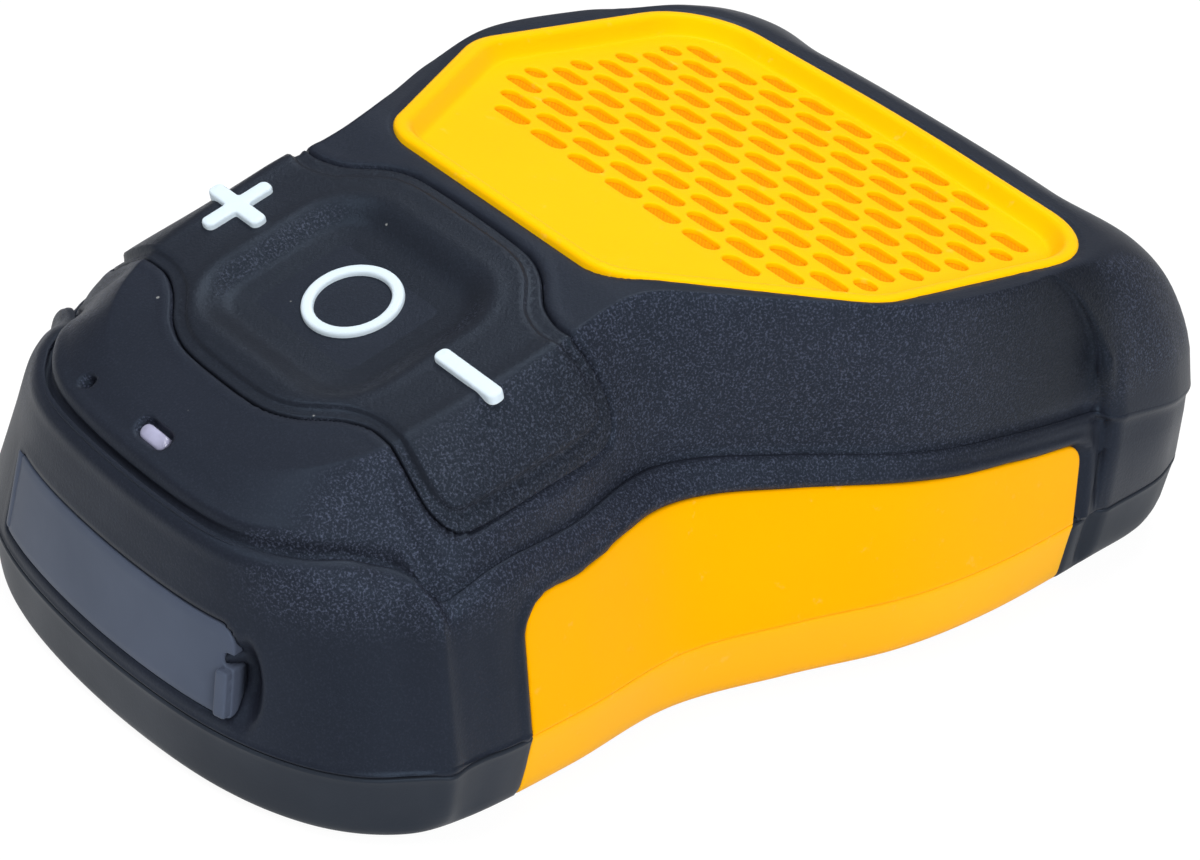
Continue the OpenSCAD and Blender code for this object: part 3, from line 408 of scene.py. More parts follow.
def plate(outline, rings, surface, step, raised=None, extra=(), holes=(), hole_rings=(), back=0.0):
    """Skin on a surface: rounded edge rings, an even net inside, holes with rounded lips, and a back."""
    inner = inset(outline, rings[-1][0])
    wide = [inset(h, -hole_rings[0][0]) for h in holes]
    flat, faces, loops = net(inner, wide, step, extra)
    n = len(outline)
    pts, drops = [flat], [np.full(len(flat), rings[-1][1])]
    count = len(flat)
    previous = loops[0]
    for by, drop in rings[-2::-1]:
        ring = inset(outline, by)
        now = list(range(count, count + n))
        faces += [(previous[k], now[k], now[(k + 1) % n], previous[(k + 1) % n]) for k in range(n)]
        pts.append(ring)
        drops.append(np.full(n, drop))
        count += n
        previous = now
    for h, loop in zip(holes, loops[1:1 + len(holes)]):
        last, m = loop, len(h)
        for by, drop in hole_rings[1:]:
            now = list(range(count, count + m))
            faces += [(last[(k + 1) % m], now[(k + 1) % m], now[k], last[k]) for k in range(m)]
            pts.append(inset(h, -by))
            drops.append(np.full(m, drop))
            count += m
            last = now
    if back:
        under, under_faces, under_loops = net(outline, [], step * 2.5 if step else 0)
        pts.append(under)
        drops.append(np.full(len(under), back))
        faces += [[count + k for k in f[::-1]] for f in under_faces]
        edge = [count + k for k in under_loops[0]]
        faces += [(previous[k], edge[k], edge[(k + 1) % n], previous[(k + 1) % n]) for k in range(n)]
    flat = np.vstack(pts)
    drop = np.concatenate(drops)
    if raised is not None:
        drop = drop - raised(flat)
    return lifted(surface, flat, drop), faces


def strip_faces(rows, n):
    """Faces between the rows of a loft, each row a closed ring of n points."""
    return [(o + i, o + (i + 1) % n, o + n + (i + 1) % n, o + n + i)
            for o in range(0, (rows - 1) * n, n) for i in range(n)]


def lathe(profile, n):
    """Points and faces of a turned piece; the profile runs in radius and height."""
    a = np.arange(n) * 2 * math.pi / n
    pts = np.array([[r * math.cos(t), r * math.sin(t), z] for r, z in profile for t in a])
    return pts, strip_faces(len(profile), n)


def joined(*parts):
    """Several sets of points and faces as one."""
    pts, faces, o = [], [], 0
    for p, f in parts:
        pts.append(p)
        faces += [[o + k for k in q] for q in f]
        o += len(p)
    return np.vstack(pts), faces


def add_piece(name, shape, finish, body, replaces=()):
    """Adds a mesh to the scene, in its finish, riding on a body."""
    pts, faces = shape
    mesh = bpy.data.meshes.new(name)
    mesh.from_pydata((pts * MM).tolist(), [], [tuple(f) for f in faces])
    mesh.validate()
    mesh.shade_smooth()
    mesh.materials.append(finish)
    piece = bpy.data.objects.new(name, mesh)
    bpy.context.scene.collection.objects.link(piece)
    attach(piece, body)
    if replaces:
        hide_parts(*replaces)
    return piece


# Outlines of the pieces, drawn on the skin laid flat
def _flat_side(points):
    p = np.array(points, float)
    return np.stack([laid_flat(p[:, 0], p[:, 1]), p[:, 1]], axis=1)


def _round_side(points):
    return open_curve(_flat_side(points), 8)


MAT_EDGE = resample(both_sides(_round_side([
    (0, -42.5), (3.5, -42.45), (6.5, -42.1), (9.3, -41.05), (11.2, -39.7), (12.9, -38.6), (15.3, -37.7),
    (18.6, -37.75), (21.2, -37.75), (23.4, -37.55), (25.1, -36.7), (26.0, -35.4), (26.15, -33.1),
    (25.6, -28.3), (25.0, -24.15), (24.05, -19.6), (23.4, -17.4), (22.85, -16.4), (22.1, -16.5),
    (20.9, -17.75), (19.8, -18.9), (18.3, -19.2), (16.6, -19.0), (14.6, -18.3), (13.1, -17.3),
    (11.7, -16.3), (9.7, -15.35), (7.6, -14.9), (3.8, -14.7), (0, -14.65)])), 0.4)
PAD_EDGE = resample(both_sides(_round_side([
    (0, -41.2), (3.5, -41.15), (6.2, -40.85), (8.6, -39.9), (10.5, -38.5), (12.6, -37.2), (15.4, -36.5),
    (18.6, -36.6), (21.1, -36.65), (23.2, -36.35), (24.4, -35.5), (24.72, -33.6), (24.2, -27.4),
    (23.8, -23.4), (23.15, -19.9), (22.65, -18.45), (22.0, -18.4), (21.1, -19.4), (20.0, -20.4),
    (18.2, -20.95), (16.3, -20.8), (14.05, -20.0), (12.3, -18.6), (10.7, -17.3), (8.5, -16.3),
    (6.2, -15.95), (3.2, -15.85), (0, -15.85)])), 0.4)
DISH_EDGE = rounded([(12.2, -39.2), (12.2, -18.9), (-12.2, -18.9), (-12.2, -39.2)], [6.0] * 4, 14)


def panel_edge(longer=0.0):
    """Outline of the yellow side panel on the wall laid flat, with its rounded upper corners."""
    near_y, far_y, below_valley = -31.1, 33.0, 2.9
    near_r, far_r = 4.2, 2.0
    a0, a1 = np.interp([near_y, far_y + longer], PART_SIDE[:, 1], PART_LENGTH)
    turn = np.linspace(0, math.pi / 2, 14)
    a = np.concatenate([a0 + near_r * (1 - np.cos(turn)), np.linspace(a0 + near_r, a1 - far_r, 80)[1:-1],
                        a1 - far_r * (1 - np.sin(turn))])
    at = np.interp(a, PART_LENGTH, FINE)
    y = mix(side_curve(PART_POINTS, at), side_curve(CREASE_POINTS, at), 0.5)[:, 1]
    z = crease_height(y) - below_valley - 0.9 * bell(y, -26, 7)
    z -= near_r - np.sqrt(np.maximum(0, near_r ** 2 - np.maximum(0, a0 + near_r - a) ** 2))
    z -= far_r - np.sqrt(np.maximum(0, far_r ** 2 - np.maximum(0, a - a1 + far_r) ** 2))
    top = np.stack([a, z], axis=1)
    return a0, a1, np.vstack([[(a0, PARTING_Z + 0.02), (a1, PARTING_Z + 0.02)], top[::-1]])


PANEL_A0, PANEL_A1, _panel = panel_edge()
PANEL_EDGE = resample(_panel, 0.4)
BASE_PANEL_EDGE = resample(np.array([(PANEL_A0 - 0.3, 0.75), (PANEL_A1 + 0.1, 0.75),
                                     (PANEL_A1, PARTING_Z - 0.04), (PANEL_A0, PARTING_Z - 0.04)]), 0.4)
SEAT_EDGE = resample(panel_edge(0.8)[2], 0.4)
DOOR_EDGE = resample(rounded([(-17.8, 9.8), (18.0, 9.8), (18.0, 14.7), (16.8, 14.7), (16.8, 15.9),
                              (18.0, 15.9), (18.0, 18.4), (-17.8, 18.4)],
                             [0.8, 0.6, 0.1, 0.3, 0.3, 0.2, 2.1, 1.2], 6), 0.25)


def grille_edge(grow=0.0, n=14):
    """Six-sided outline of the grille with rounded corners."""
    e = grow * 0.6
    right = [(15.8 + e, -27.4 - grow), (29.6 + grow, -5.82 - e), (29.6 + grow, 25.3 + grow * 0.9)]
    radii = [6 + grow, 9 + grow, 9 + grow]
    left = [(-x, y) for x, y in right[::-1]]
    return rounded(right + [(0, 26.6 + grow)] + left, radii + [200] + radii[::-1], n)


def grille_slots(s):
    """Place and length of each perforation: staggered rows, shortened where they meet the rim."""
    pitch, row, long = s.hole_pitch / MM, s.row_pitch / MM, s.hole_length / MM
    first_row, rim_x, short_x, short_long = -11.0, 24, 23.75, 2.4
    half_counts = (3, 4, 4, 5, 4, 5, 4, 5, 4, 5, 4, 3)
    out = []
    for j, count in enumerate(half_counts):
        v = first_row + j * row
        for i in range(-count, count + 1):
            x = pitch * (i - (j % 2) / 2)
            if j % 2 and i == -count:
                continue
            if abs(x) > rim_x:
                out.append((math.copysign(short_x, x), v, short_long))
            else:
                out.append((x, v, long))
    return out


# Finishes
class Value:
    """What one socket of a finish gives; sums on it add Math nodes."""

    def __init__(self, finish, socket):
        self.finish, self.socket = finish, socket

    def _sum(self, operation, other, swapped=False):
        pair = (other, self) if swapped else (self, other)
        return self.finish.node("ShaderNodeMath", {"operation": operation}, {0: pair[0], 1: pair[1]})

    def __add__(self, other):
        return self._sum("ADD", other)

    __radd__ = __add__

    def __mul__(self, other):
        return self._sum("MULTIPLY", other)

    __rmul__ = __mul__

    def __sub__(self, other):
        return self._sum("SUBTRACT", other)

    def __rsub__(self, other):
        return self._sum("SUBTRACT", other, True)

    def between(self, low, high):
        """Nought below low, one above high, smooth between."""
        return self.finish.node("ShaderNodeMapRange", {"interpolation_type": "SMOOTHSTEP"},
                                {"Value": self, "From Min": low, "From Max": high})


class Finish:
    """A material and the nodes that give it its detail."""

    def __init__(self, name):
        self.material = bpy.data.materials.new(name)
        self.material.use_nodes = True
        self.tree = self.material.node_tree
        self.tree.nodes.clear()
        self.shader = self.tree.nodes.new("ShaderNodeBsdfPrincipled")
        self.output = self.tree.nodes.new("ShaderNodeOutputMaterial")
        self.tree.links.new(self.shader.outputs[0], self.output.inputs[0])
        self._place = None

    def put(self, socket, value):
        """Links a value to a socket, or sets the socket to a constant."""
        if isinstance(value, Value):
            self.tree.links.new(value.socket, socket)
        else:
            socket.default_value = value

    def node(self, kind, settings=None, sockets=None, output=0):
        """Adds a node with its settings and sockets, and gives one of its outputs."""
        node = self.tree.nodes.new(kind)
        for key, value in (settings or {}).items():
            setattr(node, key, value)
        for key, value in (sockets or {}).items():
            self.put(node.inputs[key], value)
        return Value(self, node.outputs[output])

    def place(self):
        """Place on the object, in metres."""
        if self._place is None:
            self._place = self.node("ShaderNodeTexCoord", output="Object")
        return self._place

    def axes(self):
        """The three parts of the place on the object."""
        return [self.node("ShaderNodeSeparateXYZ", {}, {"Vector": self.place()}, axis) for axis in "XYZ"]

    def noise(self, size, detail=2.0, rough=0.5, at=None):
        """Cloudy pattern whose features are about the given size in millimetres."""
        return self.node("ShaderNodeTexNoise", {}, {"Vector": at or self.place(), "Scale": 1000.0 / size,
                                                    "Detail": detail, "Roughness": rough})

    def specks(self, size, radius):
        """Scattered round specks: one at their middle, nought outside."""
        d = self.node("ShaderNodeTexVoronoi", {"feature": "F1"},
                      {"Vector": self.place(), "Scale": 1000.0 / size, "Randomness": 1.0}, "Distance")
        return 1 - d.between(radius * 0.6, radius)

    def colours(self, factor, a, b):
        """One colour turning into another; the Mix node's colour sockets are known by their numbers."""
        factor_in, first_in, second_in, colour_out = 0, 6, 7, 2
        a, b = (v if isinstance(v, Value) else tuple(v)[:3] + (1.0,) for v in (a, b))
        return self.node("ShaderNodeMix", {"data_type": "RGBA"},
                         {factor_in: factor, first_in: a, second_in: b}, colour_out)

    def bump(self, height, depth, under=None):
        """Surface relief, with its depth in millimetres."""
        sockets = {"Height": height, "Strength": 1.0, "Distance": depth * MM}
        if under is not None:
            sockets["Normal"] = under
        return self.node("ShaderNodeBump", {}, sockets)

    def done(self, **sockets):
        """Feeds the shader's sockets and gives the material."""
        for key, value in sockets.items():
            name = key.replace("_", " ").title().replace("Ior", "IOR")
            if isinstance(value, (tuple, list)) and len(value) == 3:
                value = tuple(value) + (1.0,)
            self.put(self.shader.inputs[name], value)
        return self.material


def tint(colour, by):
    """A darker or lighter shade of a colour."""
    return tuple(max(0.0, min(1.0, c * by)) for c in colour)


def rubber(name, colour, grain_mm, grain_depth, rough, dust=1.0, painted_light=0.0):
    """Moulded rubber: grain, strongest on the flanks; pale flecks there that are painted glints, and painted
    shade on the far flank; slow bloom and dust specks.
    """
    f = Finish(name)
    facing = f.node("ShaderNodeNewGeometry", output="Normal")
    sideways = f.node("ShaderNodeSeparateXYZ", {}, {"Vector": facing}, "X")
    _, y, z = f.axes()
    # Flank mask from how far the surface faces sideways; it places the real grain, and also the painted
    # glints and the painted shade
    flank = (sideways * sideways).between(0.06, 0.3) * z.between(0.019, 0.023)
    # Painted shade: the far part of the flank is darkened, where the light falls off
    far_flank_painted_shade = y.between(0.012, 0.032) * (1 - y.between(0.034, 0.039)) * flank
    bloom = f.noise(14.0, 3.0).between(0.35, 0.75)
    grain = f.noise(grain_mm, 3.0, 0.65) * (0.3 + 0.7 * flank)
    # Painted glints: pale flecks that stand for light catching the grain, mostly where the surface faces
    # sideways
    painted_glint = f.noise(grain_mm * 0.7, 2.0, 0.6).between(0.46, 0.74) * (0.12 + 0.88 * flank) * painted_light
    speck = f.specks(4.2, 0.045) * f.noise(9.0, 0.0).between(0.52, 0.6) * dust
    base = f.colours(bloom * 0.5, tint(colour, 0.86), tint(colour, 1.22))
    # Painted glints, mixed in as a much paler tint of the rubber
    base = f.colours(painted_glint, base, tint(colour, 5.0))
    # Painted shade on the far flank, mixed in as a much darker tint of the rubber
    base = f.colours(far_flank_painted_shade * painted_light, base, tint(colour, 0.35))
    base = f.colours(speck * 0.55, base, (0.36, 0.37, 0.36))
    roughness = rough - 0.08 * bloom + 0.1 * grain
    normal = f.bump(grain, grain_depth, f.bump(f.noise(5.0, 2.0), 0.04))
    return f.done(base_color=base, roughness=roughness, normal=normal, specular_ior_level=0.2,
                  specular_tint=(0.5, 0.72, 1.0))


def moulded(name, colour, deep, rough=0.38, texture=0.012):
    """Moulded plastic: slight shade changes, very fine texture, soft scuffs and pin marks."""
    f = Finish(name)
    cloud = f.noise(22.0, 2.0).between(0.3, 0.7)
    fine = f.noise(0.35, 2.0, 0.6)
    scuff = f.noise(2.2, 4.0, 0.7).between(0.62, 0.72)
    pin = f.specks(11.0, 0.02)
    base = f.colours(cloud * 0.55, colour, deep)
    base = f.colours(scuff * 0.05, base, (1.0, 0.9, 0.6))
    base = f.colours(pin * 0.5, base, tint(deep, 0.45))
    roughness = rough + 0.08 * fine + 0.07 * scuff
    normal = f.bump(fine, texture, f.bump(f.noise(7.0, 2.0), 0.02))
    return f.done(base_color=base, roughness=roughness, normal=normal, specular_ior_level=0.08,
                  specular_tint=tint(colour, 1.0 / max(colour)))


def woven(name, colour):
    """Fine plain weave: two crossing sets of threads with shade between them."""
    f = Finish(name)
    x, y, _ = f.axes()
    pitch = 0.45 * MM
    warp = f.node("ShaderNodeMath", {"operation": "SINE"}, {0: x * (2 * math.pi / pitch)})
    weft = f.node("ShaderNodeMath", {"operation": "SINE"}, {0: y * (2 * math.pi / pitch)})
    thread = (warp * weft) * 0.5 + 0.5
    shade = f.noise(3.0, 2.0).between(0.3, 0.7)
    base = f.colours(thread, tint(colour, 0.7), colour)
    base = f.colours(shade * 0.25, base, tint(colour, 0.8))
    return f.done(base_color=base, roughness=0.72 + 0.2 * thread, normal=f.bump(thread, 0.08),
                  specular_ior_level=0.05)


def metal(name, colour, rough, brush_mm=0.25):
    """Plated metal with drawn lines, handling marks and dulled patches."""
    f = Finish(name)
    stretched = f.node("ShaderNodeMapping", {"vector_type": "POINT"},
                       {"Vector": f.place(), "Scale": (1.0, 0.06, 1.0)})
    line = f.noise(brush_mm, 2.0, 0.6, at=stretched)
    dull = f.noise(4.0, 3.0).between(0.45, 0.7)
    base = f.colours(dull * 0.4, colour, tint(colour, 0.7))
    return f.done(base_color=base, roughness=rough + 0.12 * line + 0.1 * dull, metallic=1.0,
                  normal=f.bump(line, 0.006))


def laminate(name, colour):
    """Circuit board: solder mask over tracks, with tinned pads."""
    f = Finish(name)
    track = f.node("ShaderNodeTexBrick", {"offset": 0.35, "squash": 0.7, "squash_frequency": 3},
                   {"Vector": f.place(), "Color1": (1, 1, 1, 1), "Color2": (0.6, 0.6, 0.6, 1),
                    "Mortar": (0, 0, 0, 1), "Scale": 420.0, "Mortar Size": 0.03, "Mortar Smooth": 0.2}, "Fac")
    pad = f.specks(2.6, 0.16)
    base = f.colours(track, tint(colour, 0.9), tint(colour, 1.7))
    base = f.colours(pad * 0.85, base, (0.62, 0.6, 0.52))
    return f.done(base_color=base, roughness=0.34 + 0.15 * track, normal=f.bump(track, 0.03))


def ground(name, colour, grain_mm, rough):
    """Matt ground or pressed stock: fibres or grit in two sizes."""
    f = Finish(name)
    grit = f.noise(grain_mm, 4.0, 0.7)
    patch = f.noise(grain_mm * 12, 2.0).between(0.35, 0.65)
    base = f.colours(grit, tint(colour, 0.65), tint(colour, 1.4))
    base = f.colours(patch * 0.3, base, tint(colour, 0.8))
    return f.done(base_color=base, roughness=rough + 0.1 * grit, normal=f.bump(grit, 0.03),
                  specular_ior_level=0.3)


def lens(name, colour):
    """Clouded light window: painted shade darkens it towards both ends, where it sits in its pocket, so it is
    paler in its middle; a glossy face.
    """
    f = Finish(name)
    x, _, _ = f.axes()
    # Painted shade: darker towards both ends of the window, where its pocket shades it
    middle = 1 - f.node("ShaderNodeMath", {"operation": "ABSOLUTE"}, {0: x}).between(0.0, 2.0 * MM)
    cloud = f.noise(1.2, 2.0).between(0.3, 0.7)
    base = f.colours(middle * 0.6 + cloud * 0.2, tint(colour, 0.75), tint(colour, 1.25))
    return f.done(base_color=base, roughness=0.16 + 0.1 * cloud, normal=f.bump(cloud, 0.02), coat_weight=0.3)


def winding(name, colour):
    """Lacquered wire laid in close turns, with painted shade between the turns."""
    f = Finish(name)
    _, y, z = f.axes()
    up = z * math.cos(GRILLE_TILT) + y * math.sin(GRILLE_TILT)
    turn = f.node("ShaderNodeMath", {"operation": "SINE"}, {0: up * (2 * math.pi / (0.22 * MM))})
    turn = turn * 0.5 + 0.5
    # Painted shade: darker between the turns, where the wires shade each other
    base = f.colours(turn, tint(colour, 0.55), colour)
    return f.done(base_color=base, roughness=0.3 + 0.1 * turn, metallic=0.85, normal=f.bump(turn, 0.06))


FINISHES = {}


def make_finishes(colours):
    """All the finishes of the loudspeaker, by name."""
    c = colours
    FINISHES.update(
        skin=rubber("skin_rubber", c.skin, 0.3, 0.1, 0.46, 1.0, 0.8),
        mat=rubber("mat_rubber", c.mat, 0.32, 0.14, 0.42, 1.0, 0.8),
        base=rubber("base_rubber", c.base, 0.28, 0.045, 0.5, 0.5),
        door=rubber("door_rubber", c.door, 0.35, 0.02, 0.46, 0.2),
        seal=rubber("seal_rubber", (0.03, 0.03, 0.032), 0.4, 0.05, 0.6, 0.3),
        pad=rubber("foot_rubber", (0.055, 0.058, 0.062), 0.5, 0.08, 0.62, 0.3),
        panel=moulded("panel_yellow", c.panel, tint(c.panel, 0.93)),
        lower=moulded("lower_yellow", c.lower, tint(c.lower, 0.9), 0.42),
        grille=moulded("grille_yellow", c.grille, tint(c.grille, 0.93), 0.36),
        cloth=woven("orange_weave", c.cloth),
        mark=moulded("mark_white", c.mark, tint(c.mark, 0.93), 0.4, 0.02),
        lens=lens("light_window", c.lens),
        board=laminate("board_green", (0.02, 0.11, 0.045)),
        tin=metal("tin_can", (0.62, 0.62, 0.64), 0.26),
        steel=metal("zinc_steel", (0.6, 0.6, 0.62), 0.3, 0.18),
        plastic=ground("tongue_black", (0.02, 0.02, 0.021), 0.3, 0.5),
        cell=moulded("cell_film", (0.03, 0.08, 0.28), (0.025, 0.065, 0.23), 0.25),
        foam=ground("foam_grey", (0.1, 0.1, 0.105), 0.5, 0.85),
        frame=ground("frame_paint", (0.03, 0.03, 0.035), 0.5, 0.4),
        cone=ground("cone_fibre", (0.05, 0.048, 0.045), 0.25, 0.8),
        copper=winding("copper_turns", (0.72, 0.32, 0.14)),
        ferrite=ground("ferrite_black", (0.05, 0.05, 0.055), 0.35, 0.6))
    return FINISHES


# Sizes and colours that a user would change
def size_property(name, text, value, high, low=0.0):
    return bpy.props.FloatProperty(name=name, description=text, default=value, min=low, max=high,
                                   subtype="DISTANCE", unit="LENGTH")


class SpeakerSizes(bpy.types.PropertyGroup):
    """Sizes of the visible detail."""
    seam: size_property("Shell seam", "Rounding of the two shell edges at the parting line", 0.00028, 0.0008)
    mat_groove: size_property("Mat groove", "Depth of the groove round the key mat", 0.0007, 0.0015)
    pad_rise: size_property("Pad rise", "Height of the raised pad on the key mat", 0.00042, 0.001)
    dish_depth: size_property("Dish depth", "Depth of the dish round the middle key", 0.0016, 0.0025)
    valley: size_property("Valley groove", "Depth of the rounded groove over the port door", 0.0006, 0.0009)
    post: size_property("Corner post", "How far the upright corner edges stand out", 0.0006, 0.0009)
    bumper: size_property("Bumper swell", "How far the far corner bumpers stand out", 0.0004, 0.0012)
    hole_length: size_property("Perforation length", "Length of one perforation", 0.0043, 0.0045, 0.002)
    hole_width: size_property("Perforation width", "Width of one perforation", 0.0019, 0.0022, 0.001)
    hole_pitch: size_property("Perforation pitch", "Pitch along one row", 0.0055, 0.0065, 0.005)
    row_pitch: size_property("Row pitch", "Pitch of the perforation rows", 0.003, 0.0036, 0.0028)
    field_drop: size_property("Field drop", "Depth of the field below the rim", 0.00172, 0.0019, 0.0005)


def colour_property(name, text, value):
    return bpy.props.FloatVectorProperty(name=name, description=text, default=value, size=3, min=0.0, max=1.0,
                                         subtype="COLOR")


class SpeakerColours(bpy.types.PropertyGroup):
    """Colours of the visible pieces."""
    skin: colour_property("Skin", "Rubber skin of the upper shell", (0.0138, 0.0160, 0.0245))
    mat: colour_property("Mat", "Rubber of the key mat", (0.0128, 0.0148, 0.0215))
    base: colour_property("Lower shell", "Rubber of the lower shell", (0.0220, 0.0255, 0.0340))
    door: colour_property("Door", "Rubber of the port door", (0.068, 0.082, 0.120))
    panel: colour_property("Side panel", "Plastic of the side panels", (0.97, 0.43, 0.0))
    lower: colour_property("Lower panel", "Plastic of the lower panels", (0.97, 0.475, 0.01))
    grille: colour_property("Grille", "Plastic of the grille", (0.98, 0.525, 0.001))
    cloth: colour_property("Cloth", "Cloth behind the grille", (1.0, 0.34, 0.0))
    mark: colour_property("Key marks", "Plastic of the key marks", (0.66, 0.76, 0.83))
    lens: colour_property("Light window", "Window of the status light", (0.36, 0.36, 0.5))


def sizes():
    return bpy.context.scene.speaker_sizes


class SPEAKER_OT_finishes(bpy.types.Operator):
    """Makes the finishes and puts them on the solid pieces"""
    bl_idname = "speaker.finishes"
    bl_label = "Finishes"

    def execute(self, context):
        f = make_finishes(context.scene.speaker_colours)
        wear = {
            "seal": ["case_seal", "driver_gasket", "driver_surround"],
            "pad": ["base_pad"],
            "board": ["key_board", "main_board"],
            "tin": ["usb_socket", "radio_module", "key_switches", "mic_capsule"],
            "steel": ["driver_screws", "board_screws", "case_screws", "pole_plate", "driver_yoke"],
            "plastic": ["usb_tongue"],
            "cell": ["battery_pack"],
            "foam": ["battery_pad"],
            "frame": ["driver_frame"],
            "cone": ["driver_cone", "dust_cap"],
            "copper": ["voice_coil"],
            "ferrite": ["driver_magnet"],
            "skin": ["front_housing"],
            "base": ["rear_housing"],
            "grille": ["grille"],
            "cloth": ["grille_cloth"],
            "panel": ["side_panel_right", "side_panel_left"],
            "lower": ["base_panel_right", "base_panel_left"],
            "mat": ["keypad", "play_key"],
            "mark": ["plus_key", "minus_key", "play_ring"],
            "lens": ["led_lens"],
            "door": ["usb_flap"]}
        for finish, nodes in wear.items():
            for name in nodes:
                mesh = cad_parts[name].data
                mesh.materials.clear()
                mesh.materials.append(f[finish])
        return {"FINISHED"}


def ring_places(*counts):
    """Places along one side of a plan outline, with a count of them for each span."""
    return np.concatenate([k + np.arange(n) / n for k, n in enumerate(counts)] + [[float(SIDE_SPANS)]])


def ring_of(points, at):
    """Closed plan outline through the places on both sides."""
    right = side_curve(points, at)
    return np.vstack([right, right[-2:0:-1] * [-1, 1]])


def ring_runs(at):
    """Length round the parting line at the same places, less than zero on the left side."""
    run = np.interp(at, FINE, PART_LENGTH)
    return np.concatenate([run, -run[-2:0:-1]])


def post_forms(run, s):
    """Height of the corner post, and depth of the hollows beside it, by length round the parting line."""
    post = np.interp(POST_AT, FINE, PART_LENGTH)
    hollows = 0.35 * s.post / MM * (bell(run, post - 4.0, 2.2) + bell(run, post + 3.8, 1.8))
    return s.post / MM * bell(run, post, 1.25), hollows


